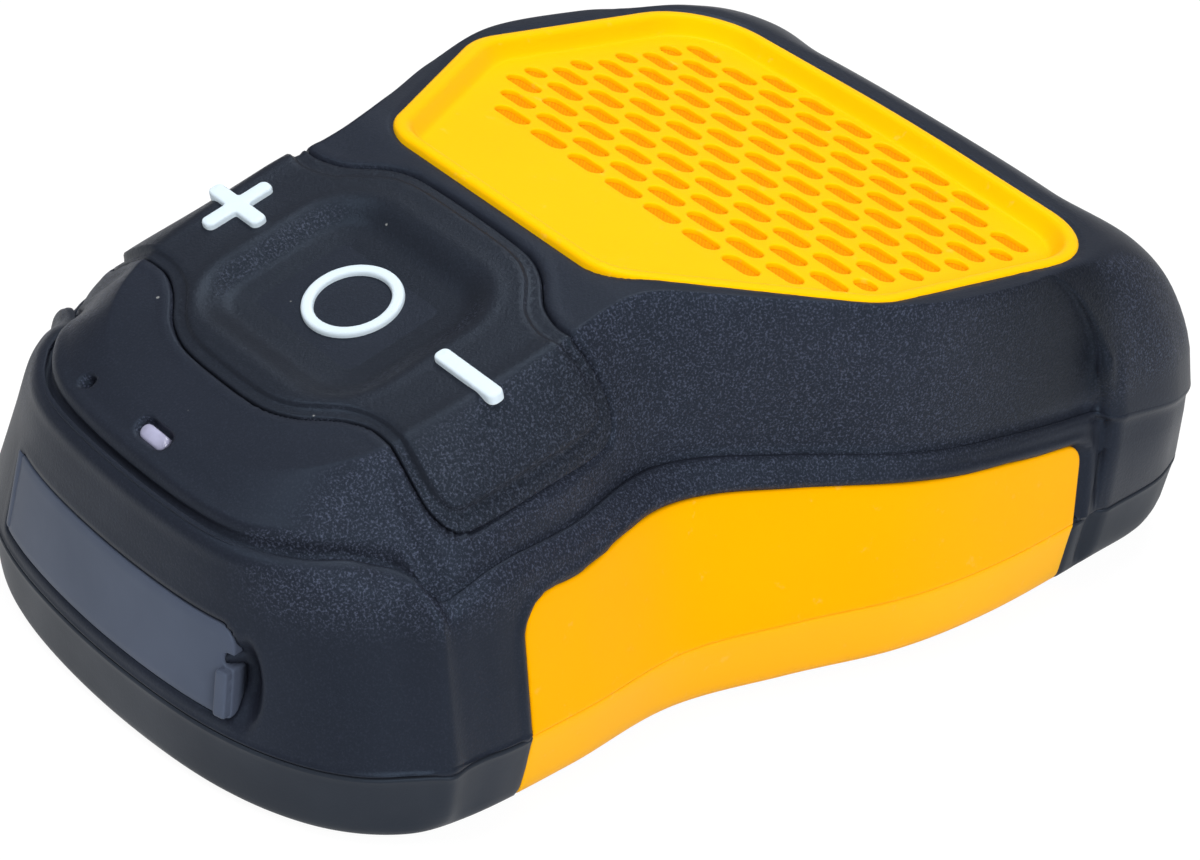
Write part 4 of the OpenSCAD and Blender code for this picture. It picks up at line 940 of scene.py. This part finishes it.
class SPEAKER_OT_upper_shell(bpy.types.Operator):
    """Builds the rubber-skinned upper shell with its valley, seats, bumpers and seam"""
    bl_idname = "speaker.upper_shell"
    bl_label = "Upper Shell"

    def execute(self, context):
        s = sizes()
        at = ring_places(46, 32, 26, 26, 42, 42, 26, 22, 20, 22, 20, 18, 18, 18)
        rows, walls, top = self.loft_rows(at, s.seam / MM)
        n = len(top)
        face_points, face_faces = self.top_face(top, len(at) - 1, len(rows))
        p = np.vstack([*rows, *face_points])
        faces = strip_faces(len(rows), n) + face_faces
        on_wall = np.zeros(len(p), bool)
        on_wall[:walls * n] = True
        up = ~on_wall
        deep = np.zeros(len(p))
        deep[up] += self.deck_depths(p[up], s)
        deep[on_wall] += self.wall_depths(np.tile(ring_runs(at), walls), p[on_wall], s)
        deep += self.bumper_depths(p, s)
        loft = np.array(rows)
        steps = np.linalg.norm(np.diff(loft, axis=0), axis=2)
        along = np.concatenate([np.zeros((1, n)), np.cumsum(steps, axis=0)])
        away = along - along[walls - 1]
        deep[:len(rows) * n] += self.valley_depths(away, loft[:, :, 0], loft[:, :, 1], s).ravel()
        piece = add_piece("upper_shell", (p, faces), FINISHES["skin"], "housing", ("front_housing",))
        normals = np.empty(len(p) * 3)
        piece.data.vertices.foreach_get("normal", normals)
        moved = p - normals.reshape(-1, 3) * deep[:, None]
        piece.data.vertices.foreach_set("co", (moved * MM).ravel())
        piece.data.update()
        return {"FINISHED"}

    @staticmethod
    def loft_rows(at, seam):
        """Rings from the seam up the wall to the valley and up the flank, fuller at the two far corners."""
        part, crease, top = (ring_of(p, at) for p in (PART_POINTS, CREASE_POINTS, TOP_POINTS))
        corner = smooth((np.abs(crease[:, 0]) - 19) / 9) * smooth((crease[:, 1] - 35.6) / 2.4)
        crease = mix(crease, part, 0.86 * corner[:, None])
        inward = edge_normals(part)
        rows = []
        for by, z in ((1.8, 0.5), (0.8, 0.12), (seam, 0.05), (seam * 0.3, seam * 0.45), (0.0, seam * 1.3)):
            rows.append(np.column_stack([part + inward * by, np.full(len(part), PARTING_Z + z)]))
        for t, k in WALL_PROFILE[1:]:
            q = mix(part, crease, t)
            k = k + corner * max(0.0, 0.65 + 0.35 * t - k)
            rows.append(np.column_stack([q, mix(PARTING_Z, crease_height(q[:, 1]), k)]))
        walls = len(rows)
        for t in FLANK_SHARES:
            q = mix(crease, top, t)
            fuller = 0.3 * corner * smooth((q[:, 1] - 34) / 14)
            z = mix(crease_height(q[:, 1]), top_height(q[:, 1]), flank_rise(t, q[:, 1], fuller))
            rows.append(np.column_stack([q, z]))
        return rows, walls, top

    @staticmethod
    def top_face(top, half, rows):
        """Points and faces that close the loft's last ring, in lines from side to side."""
        n = len(top)
        last, count = (rows - 1) * n, rows * n
        columns = 131
        across = np.linspace(1, -1, columns)
        pts, faces = [], []
        before = [last] * columns
        for k in range(1, half):
            line = np.column_stack([across[1:-1] * top[k, 0], np.full(columns - 2, top[k, 1])])
            pts.append(np.column_stack([line, top_height(line[:, 1])]))
            now = [last + k] + list(range(count, count + columns - 2)) + [last + n - k]
            count += columns - 2
            for j in range(columns - 1):
                faces.append((before[j], now[j], now[j + 1], before[j + 1]) if k > 1
                             else (last, now[j], now[j + 1]))
            before = now
        return pts, faces + [(before[j], last + half, before[j + 1]) for j in range(columns - 1)]

    @staticmethod
    def valley_depths(away, x, y, s):
        """Rounded groove along the valley over the port, running out at the corner post."""
        near = (1 - smooth((y + 41.5) / 2.4)) * (1 - 0.6 * smooth((np.abs(x) - 18) / 6))
        groove = s.valley / MM * bell(away, 0.15, 0.85)
        brow = 0.22 * (bell(away, -1.9, 0.8) + bell(away, 1.9, 0.8))
        side = 0.22 * bell(away, 0.0, 0.55) * smooth((y + 41) / 3) * (1 - smooth((y - 30) / 5))
        return near * (groove - brow) + side

    @staticmethod
    def deck_depths(p, s):
        """Seats for the mat, the grille, the light window and the microphone hole."""
        x, y = p[:, 0], p[:, 1]
        deep = np.zeros(len(p))
        keys = (y > -46) & (y < -11)
        flat = np.column_stack([laid_flat(x[keys], y[keys]), y[keys]])
        d = distance(MAT_EDGE, flat)
        deep[keys] += (s.mat_groove / MM + 0.5) * smooth((0.12 - d) / 0.36) - 0.06 * bell(d, 0.75, 0.45)
        v = (y - GRILLE_Y) / math.cos(GRILLE_TILT)
        near = (np.abs(v) < 32)
        d = distance(grille_edge(), np.column_stack([x[near], v[near]]))
        deep[near] += 3.6 * smooth((-1.1 - d) / 0.9) + 0.22 * smooth((0.45 - d) / 0.4)
        w = (y - LIGHT_Y) / 0.8
        d = np.hypot(np.maximum(np.abs(x) - 1.1, 0), w)
        deep += 1.1 * smooth((1.2 - d) / 0.35)
        d = np.hypot(x - MIC_X, w)
        deep += 1.6 * smooth((0.85 - d) / 0.5)
        return deep

    @staticmethod
    def wall_depths(run, p, s):
        """Seats for the side panels and the door, the port's opening and the scoop beside the door's tab."""
        z = p[:, 2]
        flat = np.column_stack([np.abs(run), z])
        deep = np.zeros(len(p))
        side = (flat[:, 0] > PANEL_A0 - 4) & (flat[:, 0] < PANEL_A1 + 4)
        d = distance(SEAT_EDGE, flat[side])
        deep[side] += 0.8 * smooth((0.16 - d) / 0.3) - 0.26 * bell(d, 0.75, 0.4)
        post, hollows = post_forms(flat[:, 0], s)
        deep -= post * smooth((24.5 - z) / 3.0)
        deep += hollows
        end = np.abs(run) < 24
        q = np.column_stack([run[end], z[end]])
        d = distance(DOOR_EDGE, q)
        deep[end] += 1.2 * smooth((0.16 - d) / 0.34) - 0.05 * bell(d, 0.8, 0.5)
        deep[end] += 2.0 * smooth(1.3 - np.hypot((q[:, 0] - 19.0) / 1.9, (q[:, 1] - 13.6) / 3.8))
        aside, above = np.abs(q[:, 0]) - 3.0, np.abs(q[:, 1] - PORT_Z) - 0.2
        d = np.hypot(np.maximum(aside, 0), np.maximum(above, 0)) - 1.65
        deep[end] += 5.6 * smooth((0.16 - d) / 0.24)
        return deep

    @staticmethod
    def bumper_depths(p, s):
        """Swelling of the far corners, with the groove and bead in front of it."""
        y, z = p[:, 1], p[:, 2]
        away = z - crease_height(y)
        low = smooth((10.0 - away) / 8.0)
        far = smooth((y - BUMPER_Y) / 1.4)
        swell = s.bumper / MM * far * low
        fill = 0.3 * far * bell(away, 0.0, 0.6)
        groove = bell(y, BUMPER_GROOVE_Y, 0.62) * smooth((-0.1 - away) / 0.8) * smooth((z - 8.4) / 2.4)
        bead = 0.9 * bell(y, 35.2, 0.75) * smooth((away - 0.7) / 1.2) * smooth((7.4 - away) / 1.6)
        return groove - swell - fill - bead


class SPEAKER_OT_lower_shell(bpy.types.Operator):
    """Builds the lower shell with its rolled bottom edge, seam and screw wells"""
    bl_idname = "speaker.lower_shell"
    bl_label = "Lower Shell"

    def execute(self, context):
        s = sizes()
        at = ring_places(20, 22, 22, 20, 26, 26, 22, 20, 20, 22, 20, 18, 18, 18)
        part = ring_of(PART_POINTS, at)
        n = len(part)
        inward = edge_normals(part)
        seam = s.seam / MM
        levels = [tuple(q) for q in LOWER_LEVELS[:-1]]
        levels += [(0.0, PARTING_Z - seam * 1.2), (seam * 0.3, PARTING_Z - seam * 0.4),
                   (seam, PARTING_Z - 0.04), (0.9, PARTING_Z - 0.1), (1.8, PARTING_Z - 0.2)]
        rows = [np.column_stack([part + inward * by, np.full(n, z)]) for by, z in levels]
        p = np.vstack(rows)
        flat = np.column_stack([np.abs(np.tile(ring_runs(at), len(levels))), p[:, 2]])
        d = distance(BASE_PANEL_EDGE, flat)
        deep = 0.6 * smooth((0.12 - d) / 0.4) * (p[:, 2] < PARTING_Z - 0.02)
        post, hollows = post_forms(flat[:, 0], s)
        bumper = smooth((p[:, 1] - BUMPER_Y) / 1.4) * s.bumper / MM
        grow = bumper - 0.9 * bell(p[:, 1], BUMPER_GROOVE_Y, 0.7) + post - hollows
        grow = grow * smooth((p[:, 2] - 1.0) / 2.0)
        p[:, :2] += np.tile(inward, (len(levels), 1)) * (deep - grow)[:, None]
        pts, faces = self.underside(rows[0][:, :2], len(p))
        faces = strip_faces(len(levels), n) + faces
        shape = np.vstack([p, *pts]), faces
        add_piece("lower_shell", shape, FINISHES["base"], "housing", ("rear_housing",))
        return {"FINISHED"}

    @staticmethod
    def underside(edge, o):
        """Flat bottom inside the first ring of the wall, with a well for each case screw."""
        n, sides, radius, lip_z, floor_z = len(edge), 40, 2.3, 0.9, 3.4
        a = np.arange(sides) * 2 * math.pi / sides
        wells = [np.array(middle) + radius * np.column_stack([np.cos(a), np.sin(a)])
                 for middle in ((25.4, -33.0), (-25.4, -33.0), (27.5, 36.0), (-27.5, 36.0))]
        flat, flat_faces, loops = net(edge, wells, 0)
        pts = [np.column_stack([flat, np.full(len(flat), UNDERSIDE_Z)])]
        faces = [[o + k for k in f[::-1]] for f in flat_faces]
        rim = [o + k for k in loops[0]]
        faces += [(rim[(i + 1) % n], rim[i], i, (i + 1) % n)[::-1] for i in range(n)]
        count = o + len(flat)
        for loop, well in zip(loops[1:], wells):
            above = [o + k for k in loop]
            for z in (lip_z, floor_z):
                pts.append(np.column_stack([well, np.full(sides, z)]))
                now = list(range(count, count + sides))
                faces += [(above[k], above[(k + 1) % sides], now[(k + 1) % sides], now[k])
                          for k in range(sides)]
                count += sides
                above = now
        return pts, faces


class SPEAKER_OT_side_panels(bpy.types.Operator):
    """Builds the yellow panels on both sides of the upper and the lower shell"""
    bl_idname = "speaker.side_panels"
    bl_label = "Side Panels"

    def execute(self, context):
        rings = [(0.0, 0.75), (0.0, 0.3), (0.05, 0.17), (0.16, 0.08), (0.34, 0.05)]
        upper = plate(PANEL_EDGE, rings, wall_surface, 1.0)
        lower = plate(BASE_PANEL_EDGE, rings, base_surface, 1.0)
        for side, sign in (("right", 1), ("left", -1)):
            for name, shape, finish, slot in (("side_panel", upper, "panel", "yellow_plastic"),
                                              ("base_panel", lower, "lower", "pale_yellow_plastic")):
                pts, faces = shape
                turned = faces if sign > 0 else [f[::-1] for f in faces]
                add_piece(f"{name}_{side}_skin", (pts * [sign, 1, 1], turned), FINISHES[finish], "housing",
                          (f"{name}_{side}",))
        return {"FINISHED"}


class SPEAKER_OT_grille(bpy.types.Operator):
    """Builds the grille with its smooth rim and rounded perforations, and the cloth behind it"""
    bl_idname = "speaker.grille"
    bl_label = "Grille and Cloth"
    rim_width = 2.85

    def execute(self, context):
        s = sizes()
        drop = s.field_drop / MM
        field = grille_edge(-self.rim_width)
        wide = s.hole_width / MM
        holes = [slot_loop(x, v, long, wide) for x, v, long in grille_slots(s)]
        lips = [(0.24, drop), (0.15, drop + 0.01), (0.05, drop + 0.06), (0.0, drop + 0.16), (0.0, drop + 0.5)]
        body = plate(field, [(0.0, drop)], on_grille, 3.0, holes=holes, hole_rings=lips)
        profile = [(0.0, 2.4), (0.0, 0.5), (-0.06, 0.26), (-0.2, 0.09), (-0.42, 0.0), (-0.7, -0.05),
                   (-1.0, -0.04), (-1.25, 0.03), (-1.45, 0.17), (-1.62, 0.38), (-1.8, 0.68), (-2.0, 1.0),
                   (-2.2, drop - 0.46), (-2.38, drop - 0.22), (-2.55, drop - 0.08), (-2.7, drop - 0.01),
                   (-self.rim_width, drop)]
        rings = [grille_edge(g) for g, _ in profile]
        pts = np.vstack([on_grille(r, -z) for r, (_, z) in zip(rings, profile)])
        rim = pts, strip_faces(len(profile), len(rings[0]))
        add_piece("grille_plate", joined(rim, body), FINISHES["grille"], "housing", ("grille",))
        self.cloth()
        return {"FINISHED"}

    @staticmethod
    def cloth():
        """Stretched weave behind the perforations."""
        edge = grille_edge(-2.4)

        def hang(flat):
            slack = 0.02 * np.sin(flat[:, 0] * 1.3) * np.sin(flat[:, 1] * 1.1)
            return on_grille(flat, -2.2 + slack)

        pts, faces = plate(edge, [(0.0, 0.0), (0.4, 0.0)], hang, 1.4)
        piece = add_piece("grille_weave", (pts, faces), FINISHES["cloth"], "housing", ("grille_cloth",))


class SPEAKER_OT_key_mat(bpy.types.Operator):
    """Builds the rubber key mat with its raised pad, flank lobes and dish"""
    bl_idname = "speaker.key_mat"
    bl_label = "Key Mat"

    def execute(self, context):
        s = sizes()
        rise, dish = s.pad_rise / MM, s.dish_depth / MM

        def raised(flat):
            side = smooth((np.abs(flat[:, 0]) - 17) / 4)
            pad = smooth((0.2 - distance(PAD_EDGE, flat)) / 0.4) * (0.75 + 0.6 * side)
            d = distance(DISH_EDGE, flat)
            bowl = 0.75 * smooth(-d / 3.0) + 0.25 * smooth(-d / 8.0)
            lip = 0.09 * bell(d, 0.35, 0.6)
            trench = (0.06 + 0.24 * side) * bell(distance(PAD_EDGE, flat), 0.5, 0.32)
            return rise * pad - trench - dish * bowl + lip

        rings = [(0.0, 1.1), (0.0, 0.32), (0.05, 0.16), (0.16, 0.06), (0.36, 0.03)]
        edge = resample(inset(MAT_EDGE, 0.12), 0.36)
        loops = [resample(inset(PAD_EDGE, by), 0.4) for by in (-0.22, -0.08, 0.06, 0.22)]
        shape = plate(edge, rings, deck_surface, 0.5, raised=raised, extra=loops)
        add_piece("key_mat", shape, FINISHES["mat"], "housing", ("keypad",))
        return {"FINISHED"}


class SPEAKER_OT_keys(bpy.types.Operator):
    """Builds the plus, minus and ring marks and the middle key"""
    bl_idname = "speaker.keys"
    bl_label = "Keys"

    def execute(self, context):
        rings = [(0.0, 1.0), (0.0, 0.24), (0.05, 0.11), (0.13, 0.04), (0.26, 0.0)]

        mark_lift, bar_half, cross_half, b = 0.92, 4.15, 3.75, 0.8
        r, nook_r = 0.62, 0.2

        def face(x0):
            return lambda flat: tilted(flat, x0, KEY_Y, KEY_Z, KEY_TILT, mark_lift)

        a = bar_half
        bar = rounded([(a, -b), (a, b), (-a, b), (-a, -b)], [r] * 4, 7)
        a = cross_half
        cross = rounded([(a, -b), (a, b), (b, b), (b, a), (-b, a), (-b, b), (-a, b), (-a, -b), (-b, -b),
                         (-b, -a), (b, -a), (b, -b)], [r, r, nook_r] * 4, 6)
        for name, node, x0, loop, body in (("minus_mark", "minus_key", KEY_X, bar, "minus_button"),
                                           ("plus_mark", "plus_key", -KEY_X, cross, "plus_button")):
            shape = plate(resample(loop, 0.2), rings, face(x0), 0.6)
            add_piece(name, shape, FINISHES["mark"], body, (node,))
        top, outer, inner = -0.7, 4.7, 3.55
        foot = top - 2.4
        ring = [(outer, foot), (outer, top - 0.32), (outer - 0.06, top - 0.14), (outer - 0.18, top - 0.03),
                (outer - 0.36, top), (inner + 0.36, top), (inner + 0.18, top - 0.03),
                (inner + 0.06, top - 0.14), (inner, top - 0.32), (inner, foot)]
        core = [(inner - 0.04, foot), (inner - 0.04, top - 0.75), (inner - 0.14, top - 0.62),
                (inner - 0.4, top - 0.55), (2.4, top - 0.62), (1.4, top - 0.72), (0.5, top - 0.78),
                (0.02, top - 0.79)]
        for name, node, profile, finish, slot in (
                ("ring_mark", "play_ring", ring, "mark", "white_plastic"),
                ("middle_key", "play_key", core, "mat", "black_rubber")):
            pts, faces = lathe(profile, 96)
            placed = on_keys(pts[:, :2], pts[:, 2])
            add_piece(name, (placed, faces), FINISHES[finish], "play_button", (node,))
        return {"FINISHED"}


class SPEAKER_OT_light_window(bpy.types.Operator):
    """Builds the status light window"""
    bl_idname = "speaker.light_window"
    bl_label = "Light Window"

    def execute(self, context):
        z0 = float(top_height(np.array([LIGHT_Y]))[0]) - 0.6

        def face(flat):
            return tilted(flat, 0.0, LIGHT_Y, z0, LIGHT_TILT, 0.2)

        loop = resample(slot_loop(0, 0, 3.7, 1.5, 16), 0.16)
        rings = [(0.0, 1.6), (0.0, 0.3), (0.05, 0.14), (0.16, 0.05), (0.34, 0.0)]
        shape = plate(loop, rings, face, 0.4)
        add_piece("light_lens", shape, FINISHES["lens"], "housing", ("led_lens",))
        return {"FINISHED"}


class SPEAKER_OT_port_door(bpy.types.Operator):
    """Builds the rubber port door with its hinge bead and pull tab"""
    bl_idname = "speaker.port_door"
    bl_label = "Port Door"

    def execute(self, context):
        rings = [(0.0, 0.9), (0.0, 0.3), (0.03, 0.14), (0.09, 0.05), (0.18, 0.0)]
        skin = plate(DOOR_EDGE, rings, wall_surface, 0.8, back=1.75)
        tab_corners = [(16.5, 10.1), (17.85, 10.1), (17.85, 14.55), (16.5, 14.55)]
        tab_edge = resample(rounded(tab_corners, [0.3] * 4, 5), 0.2)
        tab_rings = [(0.0, 1.0), (0.0, -0.6), (0.04, -0.72), (0.12, -0.8), (0.25, -0.84)]
        tab = plate(tab_edge, tab_rings, wall_surface, 0.5, back=1.0)
        # The two ends of the living hinge
        foot, head = np.array([-16.9815, -52.4002, 9.9]), np.array([-16.2915, -51.4176, 18.3])
        along = head - foot
        long = np.linalg.norm(along)
        along /= long
        aside = np.cross(along, [0, 1, 0])
        aside /= np.linalg.norm(aside)
        third = np.cross(along, aside)
        profile = [(0.02, 0.0), (0.6, 0.03), (0.82, 0.15), (0.88, 0.4), (0.88, long - 0.4),
                   (0.82, long - 0.15), (0.6, long - 0.03), (0.02, long)]
        pts, faces = lathe(profile, 24)
        bead = foot + pts[:, :1] * aside + pts[:, 1:2] * third + pts[:, 2:] * along
        add_piece("door_skin", joined(skin, tab, (bead, faces)), FINISHES["door"], "port_door", ("usb_flap",))
        return {"FINISHED"}


class SPEAKER_OT_stage(bpy.types.Operator):
    """Sets the floor, the soft lights and the camera"""
    bl_idname = "speaker.stage"
    bl_label = "Stage"

    def execute(self, context):
        scene = context.scene
        scene.view_settings.view_transform = "Standard"
        self.floor(scene)
        self.lights(scene)
        self.camera(scene)
        return {"FINISHED"}

    @staticmethod
    def floor(scene):
        mesh = bpy.data.meshes.new("floor")
        r = 3.0
        mesh.from_pydata([(-r, -r, 0), (r, -r, 0), (r, r, 0), (-r, r, 0)], [], [(0, 1, 2, 3)])
        f = Finish("pale_floor")
        f.done(base_color=(0.86, 0.86, 0.86), roughness=0.8, specular_ior_level=0.1)
        seen = sum(f.node("ShaderNodeLightPath", output=f"Is {kind} Ray")
                   for kind in ("Camera", "Glossy", "Transmission"))
        white = f.node("ShaderNodeEmission", {}, {"Color": (1, 1, 1, 1), "Strength": 1.06})
        blend = f.node("ShaderNodeMixShader", {}, {0: seen.between(0.0, 1.0) * 0.88,
                                                   1: Value(f, f.shader.outputs[0]), 2: white})
        f.put(f.output.inputs[0], blend)
        mesh.materials.append(f.material)
        floor = bpy.data.objects.new("floor", mesh)
        scene.collection.objects.link(floor)

    @staticmethod
    def lights(scene):
        world = bpy.data.worlds.new("studio")
        scene.world = world
        world.use_nodes = True
        back = world.node_tree.nodes["Background"]
        back.inputs["Color"].default_value = (0.95, 0.97, 1.0, 1)
        back.inputs["Strength"].default_value = 0.26
        target = Vector((0.0, 0.0, 0.02))
        for name, place, size, power in (("top_light", (-0.3, 0.4, 1.0), 0.55, 6.5),
                                         ("side_light", (0.9, -0.3, 0.7), 0.4, 8.8),
                                         ("near_light", (-0.2, -0.5, 1.0), 0.5, 4.5)):
            data = bpy.data.lights.new(name, "AREA")
            data.shape = "SQUARE"
            data.size = size
            data.energy = power
            light = bpy.data.objects.new(name, data)
            light.location = place
            light.rotation_euler = (target - Vector(place)).to_track_quat("-Z", "Y").to_euler()
            scene.collection.objects.link(light)

    @staticmethod
    def camera(scene):
        data = bpy.data.cameras.new("photo_view")
        data.sensor_fit = "HORIZONTAL"
        data.sensor_width = 36.0
        data.lens = 118.83
        data.clip_start = 0.01
        camera = bpy.data.objects.new("photo_view", data)
        right, up, back = (0.6395, 0.7647, 0.0793), (-0.4614, 0.2994, 0.8352), (0.6149, -0.5707, 0.5443)
        turn = Matrix((right, up, back)).transposed().to_quaternion().to_matrix().to_4x4()
        camera.matrix_world = Matrix.Translation((0.23541, -0.21533, 0.21828)) @ turn
        scene.collection.objects.link(camera)
        scene.camera = camera


STEPS = (SPEAKER_OT_finishes, SPEAKER_OT_upper_shell, SPEAKER_OT_lower_shell, SPEAKER_OT_side_panels,
         SPEAKER_OT_grille, SPEAKER_OT_key_mat, SPEAKER_OT_keys, SPEAKER_OT_light_window,
         SPEAKER_OT_port_door, SPEAKER_OT_stage)


class SPEAKER_PT_panel(bpy.types.Panel):
    """Lists the steps, sizes and colours of the loudspeaker"""
    bl_idname = "SPEAKER_PT_panel"
    bl_label = "Palm Loudspeaker"
    bl_space_type = "VIEW_3D"
    bl_region_type = "UI"
    bl_category = "Loudspeaker"

    def draw(self, context):
        for step in STEPS:
            self.layout.operator(step.bl_idname)
        for group in (context.scene.speaker_sizes, context.scene.speaker_colours):
            box = self.layout.box()
            for key in group.__annotations__:
                box.prop(group, key)


CLASSES = (SpeakerSizes, SpeakerColours, *STEPS, SPEAKER_PT_panel)


def register():
    for item in CLASSES:
        bpy.utils.register_class(item)
    bpy.types.Scene.speaker_sizes = bpy.props.PointerProperty(type=SpeakerSizes)
    bpy.types.Scene.speaker_colours = bpy.props.PointerProperty(type=SpeakerColours)


def unregister():
    del bpy.types.Scene.speaker_colours
    del bpy.types.Scene.speaker_sizes
    for item in reversed(CLASSES):
        bpy.utils.unregister_class(item)


def main():
    register()
    bpy.ops.speaker.finishes()
    bpy.ops.speaker.upper_shell()
    bpy.ops.speaker.lower_shell()
    bpy.ops.speaker.side_panels()
    bpy.ops.speaker.grille()
    bpy.ops.speaker.key_mat()
    bpy.ops.speaker.keys()
    bpy.ops.speaker.light_window()
    bpy.ops.speaker.port_door()
    bpy.ops.speaker.stage()


if __name__ == "__main__":
    main()
